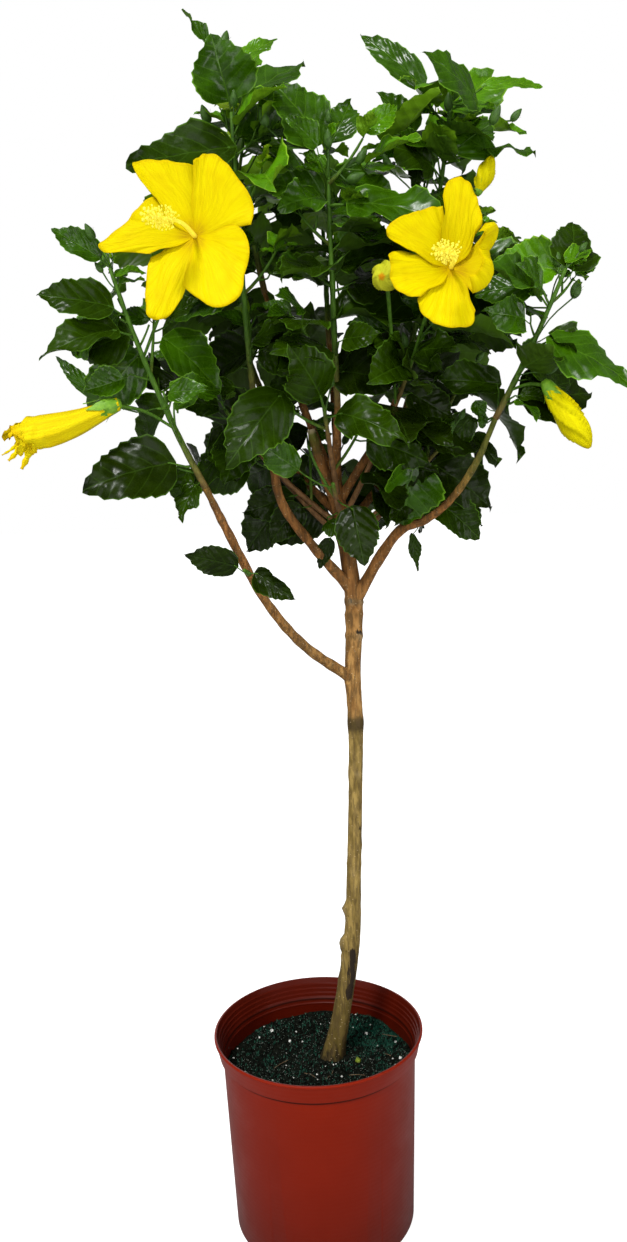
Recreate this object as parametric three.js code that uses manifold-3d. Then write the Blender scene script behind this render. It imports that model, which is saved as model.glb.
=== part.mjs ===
// A hibiscus grown as a small standard tree, in the nursery pot that it stands in.
// Millimetres, +Z up, +X to the right of the plant's face, -Y out of it.
// The origin is the centre of the pot's flat underside.
import * as THREE from 'three';
import { mergeVertices } from 'three/addons/utils/BufferGeometryUtils.js';
import Module from 'manifold-3d';

const wasm = await Module();
wasm.setup();

// ---------------------------------------------------------------- driving dimensions

const clear = 0.3;            // gap between two pieces that touch
const weldTolerance = 0.15;   // finer detail than this is smoothed away where pieces join
const berth = 0.5;            // leaves and twigs stay this much further off their neighbours

const pot = {
  rim: 127, height: 243, lip: 3, band: 23, bandFoot: 121.5, step: 2,
  bodyTop: 117.5, foot: 110, chamfer: 3, wall: 2, floor: 3, lipSlope: 1.5, edge: 0.8, sides: 32,
};
const drain = { count: 6, width: 20, height: 14 };
const soil = {
  top: 198, rings: [104, 74, 40], relief: 4.5, flat: 45, blend: 35,
  waves: [17, 23, 31], crossWave: 0.4,        // the ground's waves, and the share of the slanting one
};

// The trunk from just under the ground, where it is cut off level, to the head of its leader:
// height above the ground, right, back, thickness.
const trunkStations = [
  [-8, 15, 10, 32], [0, 17, 10, 28], [22, 22, 9.5, 24], [54, 29, 8, 22], [150, 45, 3, 20], [247, 51, 0, 17],
  [341, 56, 0, 16.5], [419, 59, 0, 17.5], [480, 58, 0, 18.5], [564, 62, 0, 20], [626, 56, 0, 18.5],
  [672, 50, 0, 17], [706, 46, 0, 14],
];

// Boughs leave the trunk's middle at a height and follow legs of [heading, climb, run].
// A heading turns from +X to +Y, and a climb is above the level, both in degrees.
const boughs = {
  low_left: {
    from: 673, thick: 12.5, tip: 8,
    legs: [[210, 36, 80], [208, 50, 69], [226, 57, 100], [215, 63, 49]],
  },
  left: {
    from: 778, thick: 12.5, tip: 7.5,
    legs: [[208, 47, 62], [202, 54, 71], [225, 75, 62], [217, 65, 40]],
  },
  right: {
    from: 764, thick: 12.5, tip: 7.5,
    legs: [[330, 53, 102], [322, 18, 34], [321, 33, 38], [320, 49, 48], [336, 64, 56]],
  },
  back_right: { from: 846, thick: 10, tip: 7, legs: [[40, 42, 95], [52, 58, 95]] },
  back_left: { from: 862, thick: 10, tip: 7, legs: [[140, 42, 95], [130, 60, 95]] },
  stub: { from: 868, thick: 15, tip: 9.5, legs: [[214, 66, 60], [200, 74, 40]] },
  inner_right: { from: 880, thick: 9.5, tip: 7, legs: [[338, 55, 100], [327, 60, 42]] },
  back: { from: 886, thick: 9.5, tip: 7, legs: [[88, 62, 110], [95, 72, 90]] },
  top_left: { from: 894, thick: 9.5, tip: 6.5, legs: [[182, 70, 130], [178, 74, 104]] },
  centre: { from: 898, thick: 9, tip: 6.5, legs: [[272, 55, 104]] },
};

// Sides round the limbs and twigs, and steps along them.
const facets = {
  trunk: [10, 18], bough: 7, boughStepsPerLeg: 2, boughSteps: 3, stem: [3, 5], shoot: [3, 2],
  spindle: [6, 4], column: [5, 5], flowerStalk: [4, 3],
};

// Masses of foliage. A stem goes on from its bough's tip, leaves a bough's side at a share of its
// length, or leaves the trunk at a height. Reaches are the leaves that end the crown: share of the
// stem, heading, climb, and distance from the stem to the leaf's tip.
const masses = [
  {
    name: 'left', bough: 'low_left', heading: 206, climb: 62, lift: 12, length: 235,
    reaches: [
      [0.8, 205, 15, 85], [0.72, 215, -5, 95], [1, 190, 35, 65], [0.47, 170, 20, 110],
      [0.42, 140, 15, 105], [0.12, 205, -5, 115], [0.05, 225, -45, 50], [0.35, 230, -20, 70],
      [0.9, 110, 5, 85],
    ],
  },
  {
    name: 'upper_left', bough: 'left', heading: 258, climb: 74, lift: 16, length: 300,
    reaches: [[0.85, 195, -5, 110], [1, 245, 60, 60], [0.98, 30, 45, 110], [0.92, 315, 35, 75]],
  },
  {
    name: 'top_left', bough: 'top_left', heading: 190, climb: 79, lift: 2, length: 235,
    reaches: [[1, 205, 65, 70], [0.8, 35, 60, 95]],
  },
  {
    name: 'centre_up', bough: 'centre', heading: 266, climb: 66, lift: 26, length: 250,
    reaches: [
      [1, 215, 50, 65], [1, 30, 60, 65], [0.8, 330, -5, 130], [0.55, 235, -5, 80],
      [0.7, 245, -40, 110], [0.4, 300, -20, 110],
    ],
  },
  {
    name: 'top_right', bough: 'inner_right', heading: 350, climb: 74, lift: 8, length: 300,
    reaches: [
      [0.92, 170, 50, 135], [1, 235, 25, 75], [1, 350, 10, 105], [0.8, 320, 0, 105],
      [0.75, 225, 20, 85], [0.9, 40, 50, 115],
    ],
  },
  {
    name: 'right', bough: 'right', heading: 338, climb: 60, lift: 6, length: 160,
    reaches: [
      [0.5, 345, -20, 95], [0.93, 340, 35, 55], [0.88, 70, 70, 70], [0.1, 20, 5, 115],
      [0.75, 215, 30, 90], [0.3, 285, 10, 85],
    ],
  },
  {
    name: 'back_left', bough: 'back_left', heading: 135, climb: 62, lift: 14, length: 210,
    reaches: [[1, 210, -10, 150], [0.9, 230, 30, 130]],
  },
  {
    name: 'back_right', bough: 'back_right', heading: 48, climb: 62, lift: 14, length: 210,
    reaches: [[1, 310, 0, 190], [0.8, 335, -15, 180]],
  },
  { name: 'back', bough: 'back', heading: 92, climb: 74, lift: 8, length: 190, reaches: [] },
  {
    name: 'low_left', bough: 'low_left', at: 0.6, heading: 262, climb: 10, lift: 6, length: 30,
    reaches: [[0.5, 205, 20, 70], [0.9, 330, -25, 70]],
  },
  {
    name: 'low_right', bough: 'right', at: 0.36, heading: 70, climb: 60, lift: 6, length: 110,
    reaches: [[0.02, 130, -85, 60], [0.3, 350, -35, 80], [0.7, 25, -30, 95], [0.15, 335, -55, 50]],
  },
  {
    name: 'low_front', at: 862, heading: 262, climb: 20, lift: 10, length: 90,
    reaches: [[0.6, 285, -58, 80], [0.9, 225, 30, 95]],
  },
  {
    name: 'inner_left', at: 850, heading: 172, turn: 44, climb: 38, lift: 15, length: 190,
    reaches: [[0.5, 225, -30, 95], [0.9, 270, -35, 105], [1, 215, 10, 55]],
  },
  {
    name: 'centre_front', at: 884, heading: 262, climb: 34, lift: 10, length: 150,
    reaches: [[0.95, 255, 30, 95], [0.9, 315, -10, 100], [0.7, 230, -15, 105], [1, 305, 10, 105]],
  },
  { name: 'right_mid', at: 858, heading: 312, climb: 50, lift: 12, length: 215, reaches: [] },
  {
    name: 'inner_right', at: 836, heading: 336, climb: 36, lift: 10, length: 170,
    reaches: [[0.5, 265, -30, 60], [0.9, 285, -20, 80]],
  },
  {
    name: 'side_left', at: 834, heading: 170, climb: 42, lift: 24, length: 265,
    reaches: [[0.3, 150, -40, 100], [0.25, 145, -70, 65], [0.9, 165, 0, 135], [0.7, 160, -25, 120]],
  },
  {
    name: 'side_right', at: 822, heading: 14, climb: 42, lift: 22, length: 245,
    reaches: [[0.5, 40, -40, 80], [0.95, 5, -35, 115]],
  },
  { name: 'low_back', at: 826, heading: 92, climb: 38, lift: 10, length: 170, reaches: [] },
];

// Flowers: open ones by the middle of their face and by their petals' [angle, length], seen from
// in front; closed ones and large buds from base to tip.
const flowers = [
  {
    on: 'left', at: 0.62, centre: [-85, -200, 1133], heading: 264, climb: 6,
    petals: [[50, 76], [127, 80], [184, 80], [246, 84], [308, 72]],
  },
  {
    on: 'right_mid', at: 0.9, centre: [157, -190, 1098], heading: 275, climb: 4,
    petals: [[83, 82], [152, 70], [211, 60], [273, 62], [337, 44]],
  },
  { on: 'left', at: 0.3, base: [-172, -140, 986], tip: [-271, -160, 956], radius: 15, widest: 0.5 },
  { on: 'right', at: 0.2, base: [253, -140, 990], tip: [294, -150, 924], radius: 13, widest: 0.62 },
  { on: 'right_mid', at: 0.7, base: [97, -160, 1080], tip: [92, -172, 1106], radius: 13, widest: 0.5 },
  { on: 'top_right', at: 0.7, base: [206, -50, 1196], tip: [222, -50, 1232], radius: 9, widest: 0.5 },
];

const leafShape = {
  sizes: [70, 100], stalks: [11, 24],         // lengths of the blade and of its stalk
  low: [0.17, 0.33], high: [0.58, 0.29],      // outline points as shares of the blade's length
  middle: 0.42, thick: 0.015, fold: 0.1, droop: 0.16,
  stalkRoot: 0.6, stalkNeck: 1.1,             // radii of the stalk
  shrinkAtTip: 0.3, shrinkPerTry: 0.93,
};
const petalShape = {
  outline: [
    [0, 0], [0.3, 0.14], [0.68, 0.38], [0.93, 0.26],
    [1, 0], [0.94, -0.24], [0.7, -0.38], [0.3, -0.14],
  ],
  middle: 0.6, thick: 0.03, cup: -0.16, flare: 0.45, twist: 12,
};
const blossom = {
  throat: 16, calyx: 20, calyxRadius: 9, clearView: 62,
  stalk: [1.6, 2.2], stalkHold: 3, stalkBow: 0.08,     // the stalk ends this far inside the calyx
  column: { length: 58, radius: 2, anthers: 5, anthersFrom: 0.7, swing: -26, rise: -5 },
};
const budShape = { start: 0.3, end: 0.25, widest: 0.45 };

// Twigs: radii, and how leaves stand along them.
const twig = {
  stem: 3, shoot: 2, tip: 1.5, end: 0.985,             // what goes on from a limb starts at its end
  bareStem: 24, bareShoot: 22, spacing: 20, spread: [45, 70], endSpread: 15, turnVaries: 60,
  tries: 7, tryTurn: 73,
};
// Side shoots off a stem: how many, how long, and how far they lean out from it.
const shoots = {
  every: 62, first: 0.8, last: 0.3, lengths: [55, 90], shorten: 0.35, lean: [0.6, 0.8], lift: 20,
};
const reachLeaf = {
  longest: 112, shortestTwig: 12, twigBow: 8, stalkShare: 0.22, stalks: [9, 30], rise: 0.25,
};
const seeds = { leavesPerTwig: 40, reaches: 60 };      // spacing of the numbers that seed the draws

// The crown's outer shape, and how its leaves stand: hanging low down, rising at the top.
const crown = {
  heart: new THREE.Vector3(45, -10, 1040), wide: 290, deep: 280, high: 344, leanRight: 0.15,
  skirt: 800, skirtRise: 0.35, rankHeight: 520, lowClimb: -48, highClimb: 12,
  climbVaries: [-22, 22], headingVaries: [-15, 15], rollVaries: [-30, 30],
  skyward: 0.5, outward: 0.6, frontward: 0.75, divide: 60, blend: 90, lean: 0.6,
};
// Places that show from in front, which only reaching leaves may hide: the boughs round the trunk's
// head, and some stems, as far to each side as beside says.
const openFront = {
  box: new THREE.Box3(new THREE.Vector3(-15, -300, 868), new THREE.Vector3(92, -5, 985)),
  stems: ['left', 'upper_left', 'centre_up', 'right'], beside: 18, before: 4, along: [0.3, 0.65, 1],
};

// ---------------------------------------------------------------- small tools

const upward = new THREE.Vector3(0, 0, 1);
const rightward = new THREE.Vector3(1, 0, 0);
const goldenAngle = 137.5;
const radians = THREE.MathUtils.degToRad;
const mix = THREE.MathUtils.lerp;

// The same draw from 0 to 1 each time for the same three whole numbers.
function draw(a, b, c) {
  const mixed = Math.sin(a * 127.1 + b * 311.7 + c * 74.7) * 43758.5453;
  return mixed - Math.floor(mixed);
}

function drawBetween([low, high], a, b, c) {
  return mix(low, high, draw(a, b, c));
}

// A direction from its heading and climb, and the heading and climb of a direction.
function toward(heading, climb) {
  const level = Math.cos(radians(climb));
  const [x, y] = [Math.cos(radians(heading)), Math.sin(radians(heading))];
  return new THREE.Vector3(level * x, level * y, Math.sin(radians(climb)));
}

function bearing(direction) {
  const heading = THREE.MathUtils.radToDeg(Math.atan2(direction.y, direction.x));
  return { heading, climb: THREE.MathUtils.radToDeg(Math.asin(direction.z / direction.length())) };
}

// The part of a direction that is square to another one, at unit length.
function squareTo(direction, axis) {
  return direction.clone().addScaledVector(axis, -direction.dot(axis)).normalize();
}

// A direction square to an axis: the first one given, or the second where the first lies along it.
function spokeOf(axis, first, second) {
  return squareTo(Math.abs(axis.dot(first)) < 0.9 ? first : second, axis);
}

// A copy of a point moved along several directions, each given with its distance.
function moved(point, ...moves) {
  return moves.reduce((at, [direction, distance]) => at.addScaledVector(direction, distance), point.clone());
}

function toSolid(geometry) {
  geometry.deleteAttribute('normal');
  geometry.deleteAttribute('uv');
  const welded = mergeVertices(geometry, 1e-4);
  return new wasm.Manifold(new wasm.Mesh({
    numProp: 3,
    vertProperties: new Float32Array(welded.attributes.position.array),
    triVerts: new Uint32Array(welded.index.array),
  }));
}

function toGeometry(solid) {
  const { vertProperties, triVerts } = solid.getMesh();
  const geometry = new THREE.BufferGeometry();
  geometry.setAttribute('position', new THREE.BufferAttribute(vertProperties, 3));
  geometry.setIndex(new THREE.BufferAttribute(triVerts, 1));
  geometry.computeVertexNormals();
  return geometry;
}

// ---------------------------------------------------------------- limbs and twigs

// A round limb: a cylinder's rings carried along a curve, each with its own radius.
function limb(curve, radiusAt, sides, steps) {
  const shell = new THREE.CylinderGeometry(1, 1, 1, sides, steps);
  const place = shell.attributes.position;
  const rings = [];
  let across = spokeOf(curve.getTangent(0), rightward, upward);
  for (let i = 0; i <= steps; i++) {
    const along = curve.getTangent(i / steps);
    across = squareTo(across, along);
    rings.push({ at: curve.getPoint(i / steps), across, over: across.clone().cross(along) });
  }
  for (let i = 0; i < place.count; i++) {
    const share = place.getY(i) + 0.5;
    const ring = rings[Math.round(share * steps)];
    const radius = radiusAt(share);
    const point = moved(ring.at, [ring.across, place.getX(i) * radius], [ring.over, place.getZ(i) * radius]);
    place.setXYZ(i, point.x, point.y, point.z);
  }
  return toSolid(shell);
}

function tapered(from, to) {
  return share => mix(from, to, share);
}

// A twig's path: its heading and climb change evenly along it.
function twigPath({ root, heading, turn = 0, climb, lift = 0, length }, steps = 5) {
  const points = [root.clone()];
  for (let i = 0; i < steps; i++) {
    const share = (i + 0.5) / steps;
    points.push(moved(points[i], [toward(heading + turn * share, climb + lift * share), length / steps]));
  }
  return new THREE.CatmullRomCurve3(points);
}

function boughPath(root, legs) {
  const points = [root];
  for (const [heading, climb, run] of legs) {
    points.push(moved(points.at(-1), [toward(heading, climb), run]));
  }
  return new THREE.CatmullRomCurve3(points);
}

const trunkCurve = new THREE.CatmullRomCurve3(
  trunkStations.map(([height, x, y]) => new THREE.Vector3(x, y, soil.top + clear + height)));

function trunkRadius(share) {
  const station = share * (trunkStations.length - 1);
  const below = Math.min(Math.floor(station), trunkStations.length - 2);
  return mix(trunkStations[below][3], trunkStations[below + 1][3], station - below) / 2;
}

// The trunk's middle at a height above the pot's underside.
function trunkMiddle(height) {
  const above = height - soil.top - clear;
  const upper = trunkStations.findIndex(station => station[0] > above);
  const [low, high] = [trunkStations[upper - 1], trunkStations[upper]];
  const share = (above - low[0]) / (high[0] - low[0]);
  return new THREE.Vector3(mix(low[1], high[1], share), mix(low[2], high[2], share), height);
}

// ---------------------------------------------------------------- pot and soil

function lathe(profile, sides) {
  const turned = new THREE.LatheGeometry(profile.map(([r, z]) => new THREE.Vector2(r, z)), sides);
  return turned.rotateX(Math.PI / 2);
}

const bandBottom = pot.height - pot.band;

function makePot() {
  const { rim, height, lip, band, bandFoot, step, bodyTop, foot, chamfer, wall, floor, edge } = pot;
  const [underLip, insideLip] = [rim - pot.lipSlope, rim - lip - pot.lipSlope];
  const [stepTop, innerFoot] = [height - band / 2, foot - wall];
  const outside = [
    [0, 0], [foot - chamfer, 0], [foot, chamfer], [bodyTop, bandBottom], [bandFoot, bandBottom],
    [underLip, height - lip - edge], [rim, height - lip], [rim, height - edge], [rim - edge, height],
  ];
  const inside = [
    [rim - lip, height], [insideLip, stepTop], [insideLip - step, stepTop - edge],
    [bandFoot - 2 * wall, bandBottom + edge], [bodyTop - wall, bandBottom - wall],
    [innerFoot, floor + chamfer], [innerFoot - chamfer, floor], [0, floor],
  ];
  let shell = toSolid(lathe([...outside, ...inside], pot.sides));
  for (let i = 0; i < drain.count; i++) {
    const hole = new THREE.BoxGeometry(drain.width, drain.width, drain.height);
    hole.translate(foot, 0, 0).rotateZ(i * 2 * Math.PI / drain.count);
    shell = shell.subtract(toSolid(hole));
  }
  return shell;
}

// The soil's rise and fall, level round the foot of the trunk.
function soilRelief(x, y) {
  const [, trunkX, trunkY] = trunkStations[1];
  const away = Math.hypot(x - trunkX, y - trunkY);
  const fade = THREE.MathUtils.smoothstep(away, soil.flat, soil.flat + soil.blend);
  const [across, deep, slanting] = soil.waves;
  const wave = Math.sin(x / across + 1) * Math.cos(y / deep);
  return soil.relief * fade * (wave + soil.crossWave * Math.sin((x + 2 * y) / slanting));
}

function makeSoil() {
  const { bodyTop, foot, chamfer, wall, floor } = pot;
  const [innerFoot, footTop, wallTop] = [foot - wall, floor + chamfer, bandBottom - wall];
  const wallAtTop = mix(innerFoot, bodyTop - wall, (soil.top - footTop) / (wallTop - footTop));
  const heap = lathe([
    [0, floor + clear], [innerFoot - chamfer - clear, floor + clear], [innerFoot - clear, footTop + clear],
    [wallAtTop - clear, soil.top], ...soil.rings.map(radius => [radius, soil.top]), [0, soil.top],
  ], pot.sides);
  const place = heap.attributes.position;
  for (let i = 0; i < place.count; i++) {
    const [x, y, z] = [place.getX(i), place.getY(i), place.getZ(i)];
    if (z > soil.top - 1 && Math.hypot(x, y) < soil.rings[0] + 1) {
      place.setZ(i, soil.top + soilRelief(x, y));
    }
  }
  return toSolid(heap);
}

// ---------------------------------------------------------------- trunk and boughs

const limbs = {};
const limbRooms = [];         // the room each limb takes up: its own shape, larger by the clear gap

// A limb and its room. The room also goes on past the limb's end by the gap.
function addLimb(name, curve, radiusAt, sides, steps) {
  const solid = limb(curve, radiusAt, sides, steps);
  const wider = limb(curve, share => radiusAt(share) + clear, sides, steps);
  limbs[name] = limbRooms.reduce((rest, room) => rest.subtract(room), solid);
  limbRooms.push(wider.add(wider.translate(curve.getTangent(1).multiplyScalar(clear).toArray())));
}

addLimb('trunk', trunkCurve, trunkRadius, ...facets.trunk);
const underground = new THREE.BoxGeometry(pot.rim, pot.rim, soil.top);
underground.translate(0, 0, soil.top / 2 + clear);
limbs.trunk = limbs.trunk.subtract(toSolid(underground));

const boughCurves = {};
for (const [name, { from, thick, tip, legs }] of Object.entries(boughs)) {
  boughCurves[name] = boughPath(trunkMiddle(from), legs);
  const steps = facets.boughStepsPerLeg * legs.length + facets.boughSteps;
  addLimb(`bough_${name}`, boughCurves[name], tapered(thick / 2, tip / 2), facets.bough, steps);
}

// ---------------------------------------------------------------- leaves

// A closed solid from its corner points and the faces between them.
function facetedSolid(points, faces) {
  const geometry = new THREE.BufferGeometry();
  const positions = points.flatMap(point => point.toArray());
  geometry.setAttribute('position', new THREE.Float32BufferAttribute(positions, 3));
  geometry.setIndex(faces.flat());
  return toSolid(geometry);
}

// A leaf is one closed solid: a three-sided stalk that widens into a folded, drooping blade.
// leaf: the stalk's root and neck, the blade's direction, the way its face looks, and its length.
// from: share of the stalk that is left off; extra: how much larger all round.
function leafSolid(leaf, from = 0, extra = 0) {
  const { root, neck, along, face, blade } = leaf;
  const { low, high, middle, thick, fold, droop, stalkRoot, stalkNeck } = leafShape;
  const side = face.clone().cross(along);
  const stalk = neck.clone().sub(root).normalize();
  const stalkFace = squareTo(face, stalk);
  const stalkSide = stalkFace.clone().cross(stalk);
  const ring = (at, across, over, radius) => [90, 210, 330].map(radians).map(
    angle => moved(at, [across, -radius * Math.cos(angle)], [over, radius * Math.sin(angle)]));
  const spot = (u, v, w) => moved(neck, [along, u * blade], [side, v * blade], [face, w * blade]);
  const wide = extra / blade;
  const [lowEdge, highEdge, middleEdge] = [low[1] + wide, high[1] + wide, thick / 2 + wide];
  const points = [
    ...ring(root.clone().lerp(neck, from), stalkSide, stalkFace, stalkRoot + extra),
    ...ring(neck, side, face, stalkNeck + extra),
    spot(low[0], lowEdge, fold), spot(high[0], highEdge, fold / 2), spot(1 + wide, 0, -droop),
    spot(high[0], -highEdge, fold / 2), spot(low[0], -lowEdge, fold),
    spot(middle, 0, middleEdge), spot(middle, 0, -middleEdge),
  ];
  const faces = [[0, 1, 2]];
  for (const [i, j] of [[0, 1], [1, 2], [2, 0]]) {
    faces.push([i, 3 + j, j], [i, 3 + i, 3 + j]);
  }
  const [top, left, right, upperMiddle, lowerMiddle] = [3, 4, 5, 11, 12];
  const outline = [left, 6, 7, 8, 9, 10, right];
  for (let i = 1; i < outline.length; i++) {
    faces.push([outline[i], outline[i - 1], upperMiddle], [outline[i - 1], outline[i], lowerMiddle]);
  }
  faces.push([left, top, upperMiddle], [top, right, upperMiddle], [right, left, lowerMiddle]);
  return facetedSolid(points, faces);
}

// Growth that later growth has to miss, each piece with its owner and its box.
const taken = [];

function take(solid, owner) {
  taken.push({ solid, owner, box: solid.boundingBox() });
}

function boxesMeet(a, b) {
  return [0, 1, 2].every(axis => a.min[axis] <= b.max[axis] && b.min[axis] <= a.max[axis]);
}

// True where a solid touches growth whose owner counts.
function hits(solid, counts) {
  const box = solid.boundingBox();
  return taken.some(other => counts(other.owner) && boxesMeet(box, other.box)
    && !solid.intersect(other.solid).isEmpty());
}

// ---------------------------------------------------------------- blossom and buds

// A petal is one closed solid that widens from its claw to a rounded, slightly cupped limb.
function petalSolid(root, along, face, size) {
  const side = face.clone().cross(along);
  const { outline, middle, thick, cup } = petalShape;
  const spot = ([u, v, w]) => moved(root, [along, u * size], [side, v * size], [face, w * size]);
  const rim = outline.map(([u, v]) => spot([u, v, cup * u * u]));
  const faces = outline.flatMap((_, i) => {
    const next = (i + 1) % outline.length;
    return [[next, i, outline.length], [i, next, outline.length + 1]];
  });
  return facetedSolid([...rim, spot([middle, 0, thick / 2]), spot([middle, 0, -thick / 2])], faces);
}

// A spindle from one point to another, with its widest place at a share of its length.
function spindle(from, to, radius, widest = budShape.widest) {
  const swell = (end, share) => mix(end, 1, Math.sin(share * Math.PI / 2));
  const radiusAt = share => radius * (share < widest
    ? swell(budShape.start, share / widest) : swell(budShape.end, (1 - share) / (1 - widest)));
  return limb(new THREE.LineCurve3(from, to), radiusAt, ...facets.spindle);
}

function openFlower(flower) {
  const { throat, calyx, calyxRadius, column, stalkHold } = blossom;
  const face = toward(flower.heading, flower.climb);
  const centre = new THREE.Vector3(...flower.centre);
  const base = moved(centre, [face, -throat]);
  const right = upward.clone().cross(face).normalize();
  const petals = flower.petals.map(([angle, length]) => {
    const spoke = right.clone().applyAxisAngle(face, radians(angle));
    const along = moved(spoke, [face, petalShape.flare]).normalize();
    const twisted = squareTo(face, along).applyAxisAngle(along, radians(petalShape.twist));
    return petalSolid(base, along, twisted, length / along.dot(spoke));
  });
  const columnWay = toward(flower.heading + column.swing, flower.climb + column.rise);
  const columnLine = new THREE.LineCurve3(base, moved(centre, [columnWay, column.length]));
  const columnRadius = share => (share > column.anthersFrom ? column.anthers : column.radius);
  const columnSolid = limb(columnLine, columnRadius, ...facets.column);
  const cup = spindle(moved(base, [face, -calyx]), centre, calyxRadius);
  return { pieces: [cup, ...petals, columnSolid], foot: moved(base, [face, stalkHold - calyx]) };
}

function closedFlower({ base, tip, radius, widest }) {
  const [from, to] = [new THREE.Vector3(...base), new THREE.Vector3(...tip)];
  const along = to.clone().sub(from).normalize();
  return { pieces: [spindle(from, to, radius, widest)], foot: moved(from, [along, blossom.stalkHold]) };
}

// The stalk that carries a flower from a stem: it bows gently upward on the way.
function flowerStalk(from, foot) {
  const bow = moved(from.clone().lerp(foot, 0.5), [upward, from.distanceTo(foot) * blossom.stalkBow]);
  const path = new THREE.CatmullRomCurve3([from, bow, foot]);
  return limb(path, tapered(...blossom.stalk), ...facets.flowerStalk);
}

// ---------------------------------------------------------------- growth of the masses

const stemPaths = masses.map(mass => {
  const curve = mass.bough && boughCurves[mass.bough];
  const root = curve ? curve.getPoint(mass.at ?? twig.end) : trunkMiddle(mass.at);
  return twigPath({ ...mass, root }, 6);
});

// The way a leaf looks: up, out of the crown, and to the plant's front or back.
function faceAt(place, along, roll) {
  const outward = place.clone().sub(crown.heart).normalize();
  const frontward = THREE.MathUtils.clamp((place.y - crown.divide) / crown.blend, -1, 1);
  const wish = moved(new THREE.Vector3(), [upward, crown.skyward], [outward, crown.outward]);
  wish.y += crown.frontward * frontward;
  return squareTo(wish, along).applyAxisAngle(along, radians(roll));
}

function leafTip({ neck, along, face, blade }) {
  return moved(neck, [along, blade], [face, -leafShape.droop * blade]);
}

function insideCrown(point) {
  const { heart, wide, deep, high, leanRight, skirt, skirtRise } = crown;
  const z = point.z - heart.z;
  const x = point.x - heart.x - leanRight * Math.max(0, z);
  const y = point.y - heart.y;
  return (x / wide) ** 2 + (y / deep) ** 2 + (z / high) ** 2 < 1
    && point.z > skirt + skirtRise * Math.hypot(x, y);
}

// Nothing grows in front of an open flower.
function hidesFlower(point) {
  return flowers.filter(flower => flower.centre).some(flower => {
    const face = toward(flower.heading, flower.climb);
    const away = point.clone().sub(new THREE.Vector3(...flower.centre));
    const ahead = away.dot(face);
    return ahead > 0 && moved(away, [face, -ahead]).length() < blossom.clearView;
  });
}

// The stretch of a stem level with a point, as seen from in front.
function hidesStem(point) {
  return openFront.stems.some(name => {
    const knots = stemPaths[masses.findIndex(mass => mass.name === name)].points;
    const next = knots.findIndex((knot, i) => i > 0 && knots[i - 1].z <= point.z && point.z < knot.z);
    if (next < 0) {
      return false;
    }
    const [low, high] = [knots[next - 1], knots[next]];
    const at = low.clone().lerp(high, (point.z - low.z) / (high.z - low.z));
    return Math.abs(point.x - at.x) < openFront.beside && point.y < at.y - openFront.before;
  });
}

function hidesWood(leaf) {
  const tip = leafTip(leaf);
  return openFront.along
    .map(share => leaf.neck.clone().lerp(tip, share))
    .some(point => openFront.box.containsPoint(point) || hidesStem(point));
}

const grown = masses.map(() => []);
const ofOthers = mass => owner => owner !== mass;
const ofItsOwn = mass => owner => owner === mass;

// Adds a leaf to a mass, unless it would hide a flower, or touch a limb or other growth.
function growLeaf(leaf, mass) {
  const tip = leafTip(leaf);
  if (hidesFlower(tip) || hidesFlower(leaf.neck.clone().lerp(tip, 0.5))) {
    return false;
  }
  const outerPart = leafSolid(leaf, 0.5, berth);
  if (hits(leafSolid(leaf, 0, berth), ofOthers(mass)) || hits(outerPart, ofItsOwn(mass))) {
    return false;
  }
  grown[mass].push(leafSolid(leaf));
  take(outerPart, mass);
  return true;
}

function growShoot(path, mass) {
  const wider = limb(path, tapered(twig.shoot + berth, twig.tip + berth), ...facets.shoot);
  if (hits(wider, ofOthers(mass))) {
    return false;
  }
  grown[mass].push(limb(path, tapered(twig.shoot, twig.tip), ...facets.shoot));
  take(wider, mass);
  return true;
}

// One try at a leaf that follows the rule: its stalk spreads from the twig's axis, and its blade
// turns out of the crown, hangs low down in it and rises at its top.
function ruledLeaf(root, axis, share, last, mass, seed, tries) {
  const turn = seed * goldenAngle + twig.turnVaries * draw(mass, seed, 1) + twig.tryTurn * tries;
  const spread = radians(last ? twig.endSpread : drawBetween(twig.spread, mass, seed, 2));
  const spoke = spokeOf(axis, upward, rightward).applyAxisAngle(axis, radians(turn));
  const stalk = moved(new THREE.Vector3(), [axis, Math.cos(spread)], [spoke, Math.sin(spread)]);
  const neck = moved(root, [stalk, drawBetween(leafShape.stalks, mass, seed, 6)]);
  const outward = root.clone().sub(crown.heart).setZ(0).normalize();
  const level = moved(stalk.clone().setZ(0), [outward, crown.lean]);
  const rank = THREE.MathUtils.clamp((root.z - crown.skirt) / crown.rankHeight, 0, 1);
  const along = toward(
    bearing(level).heading + drawBetween(crown.headingVaries, mass, seed, 3),
    mix(crown.lowClimb, crown.highClimb, rank) + drawBetween(crown.climbVaries, mass, seed, 4));
  const face = faceAt(neck, along, drawBetween(crown.rollVaries, mass, seed + tries, 7));
  const shrink = (1 - leafShape.shrinkAtTip * share ** 6) * leafShape.shrinkPerTry ** tries;
  return { root, neck, along, face, blade: drawBetween(leafShape.sizes, mass, seed, 5) * shrink };
}

// Leaves spiral up a twig by the golden angle. Each tries a few turns before its place stays bare.
function leavesAlong(path, length, mass, key, bare) {
  const count = Math.floor((length - bare) / twig.spacing);
  for (let i = 0; i <= count; i++) {
    const share = Math.min(1, (bare + i * twig.spacing) / length);
    const [root, axis] = [path.getPoint(share * twig.end), path.getTangent(share)];
    for (let tries = 0; tries < twig.tries; tries++) {
      const leaf = ruledLeaf(root, axis, share, i === count, mass, key * seeds.leavesPerTwig + i, tries);
      if (insideCrown(leafTip(leaf)) && insideCrown(leaf.neck) && !hidesWood(leaf) && growLeaf(leaf, mass)) {
        break;
      }
    }
  }
}

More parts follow.
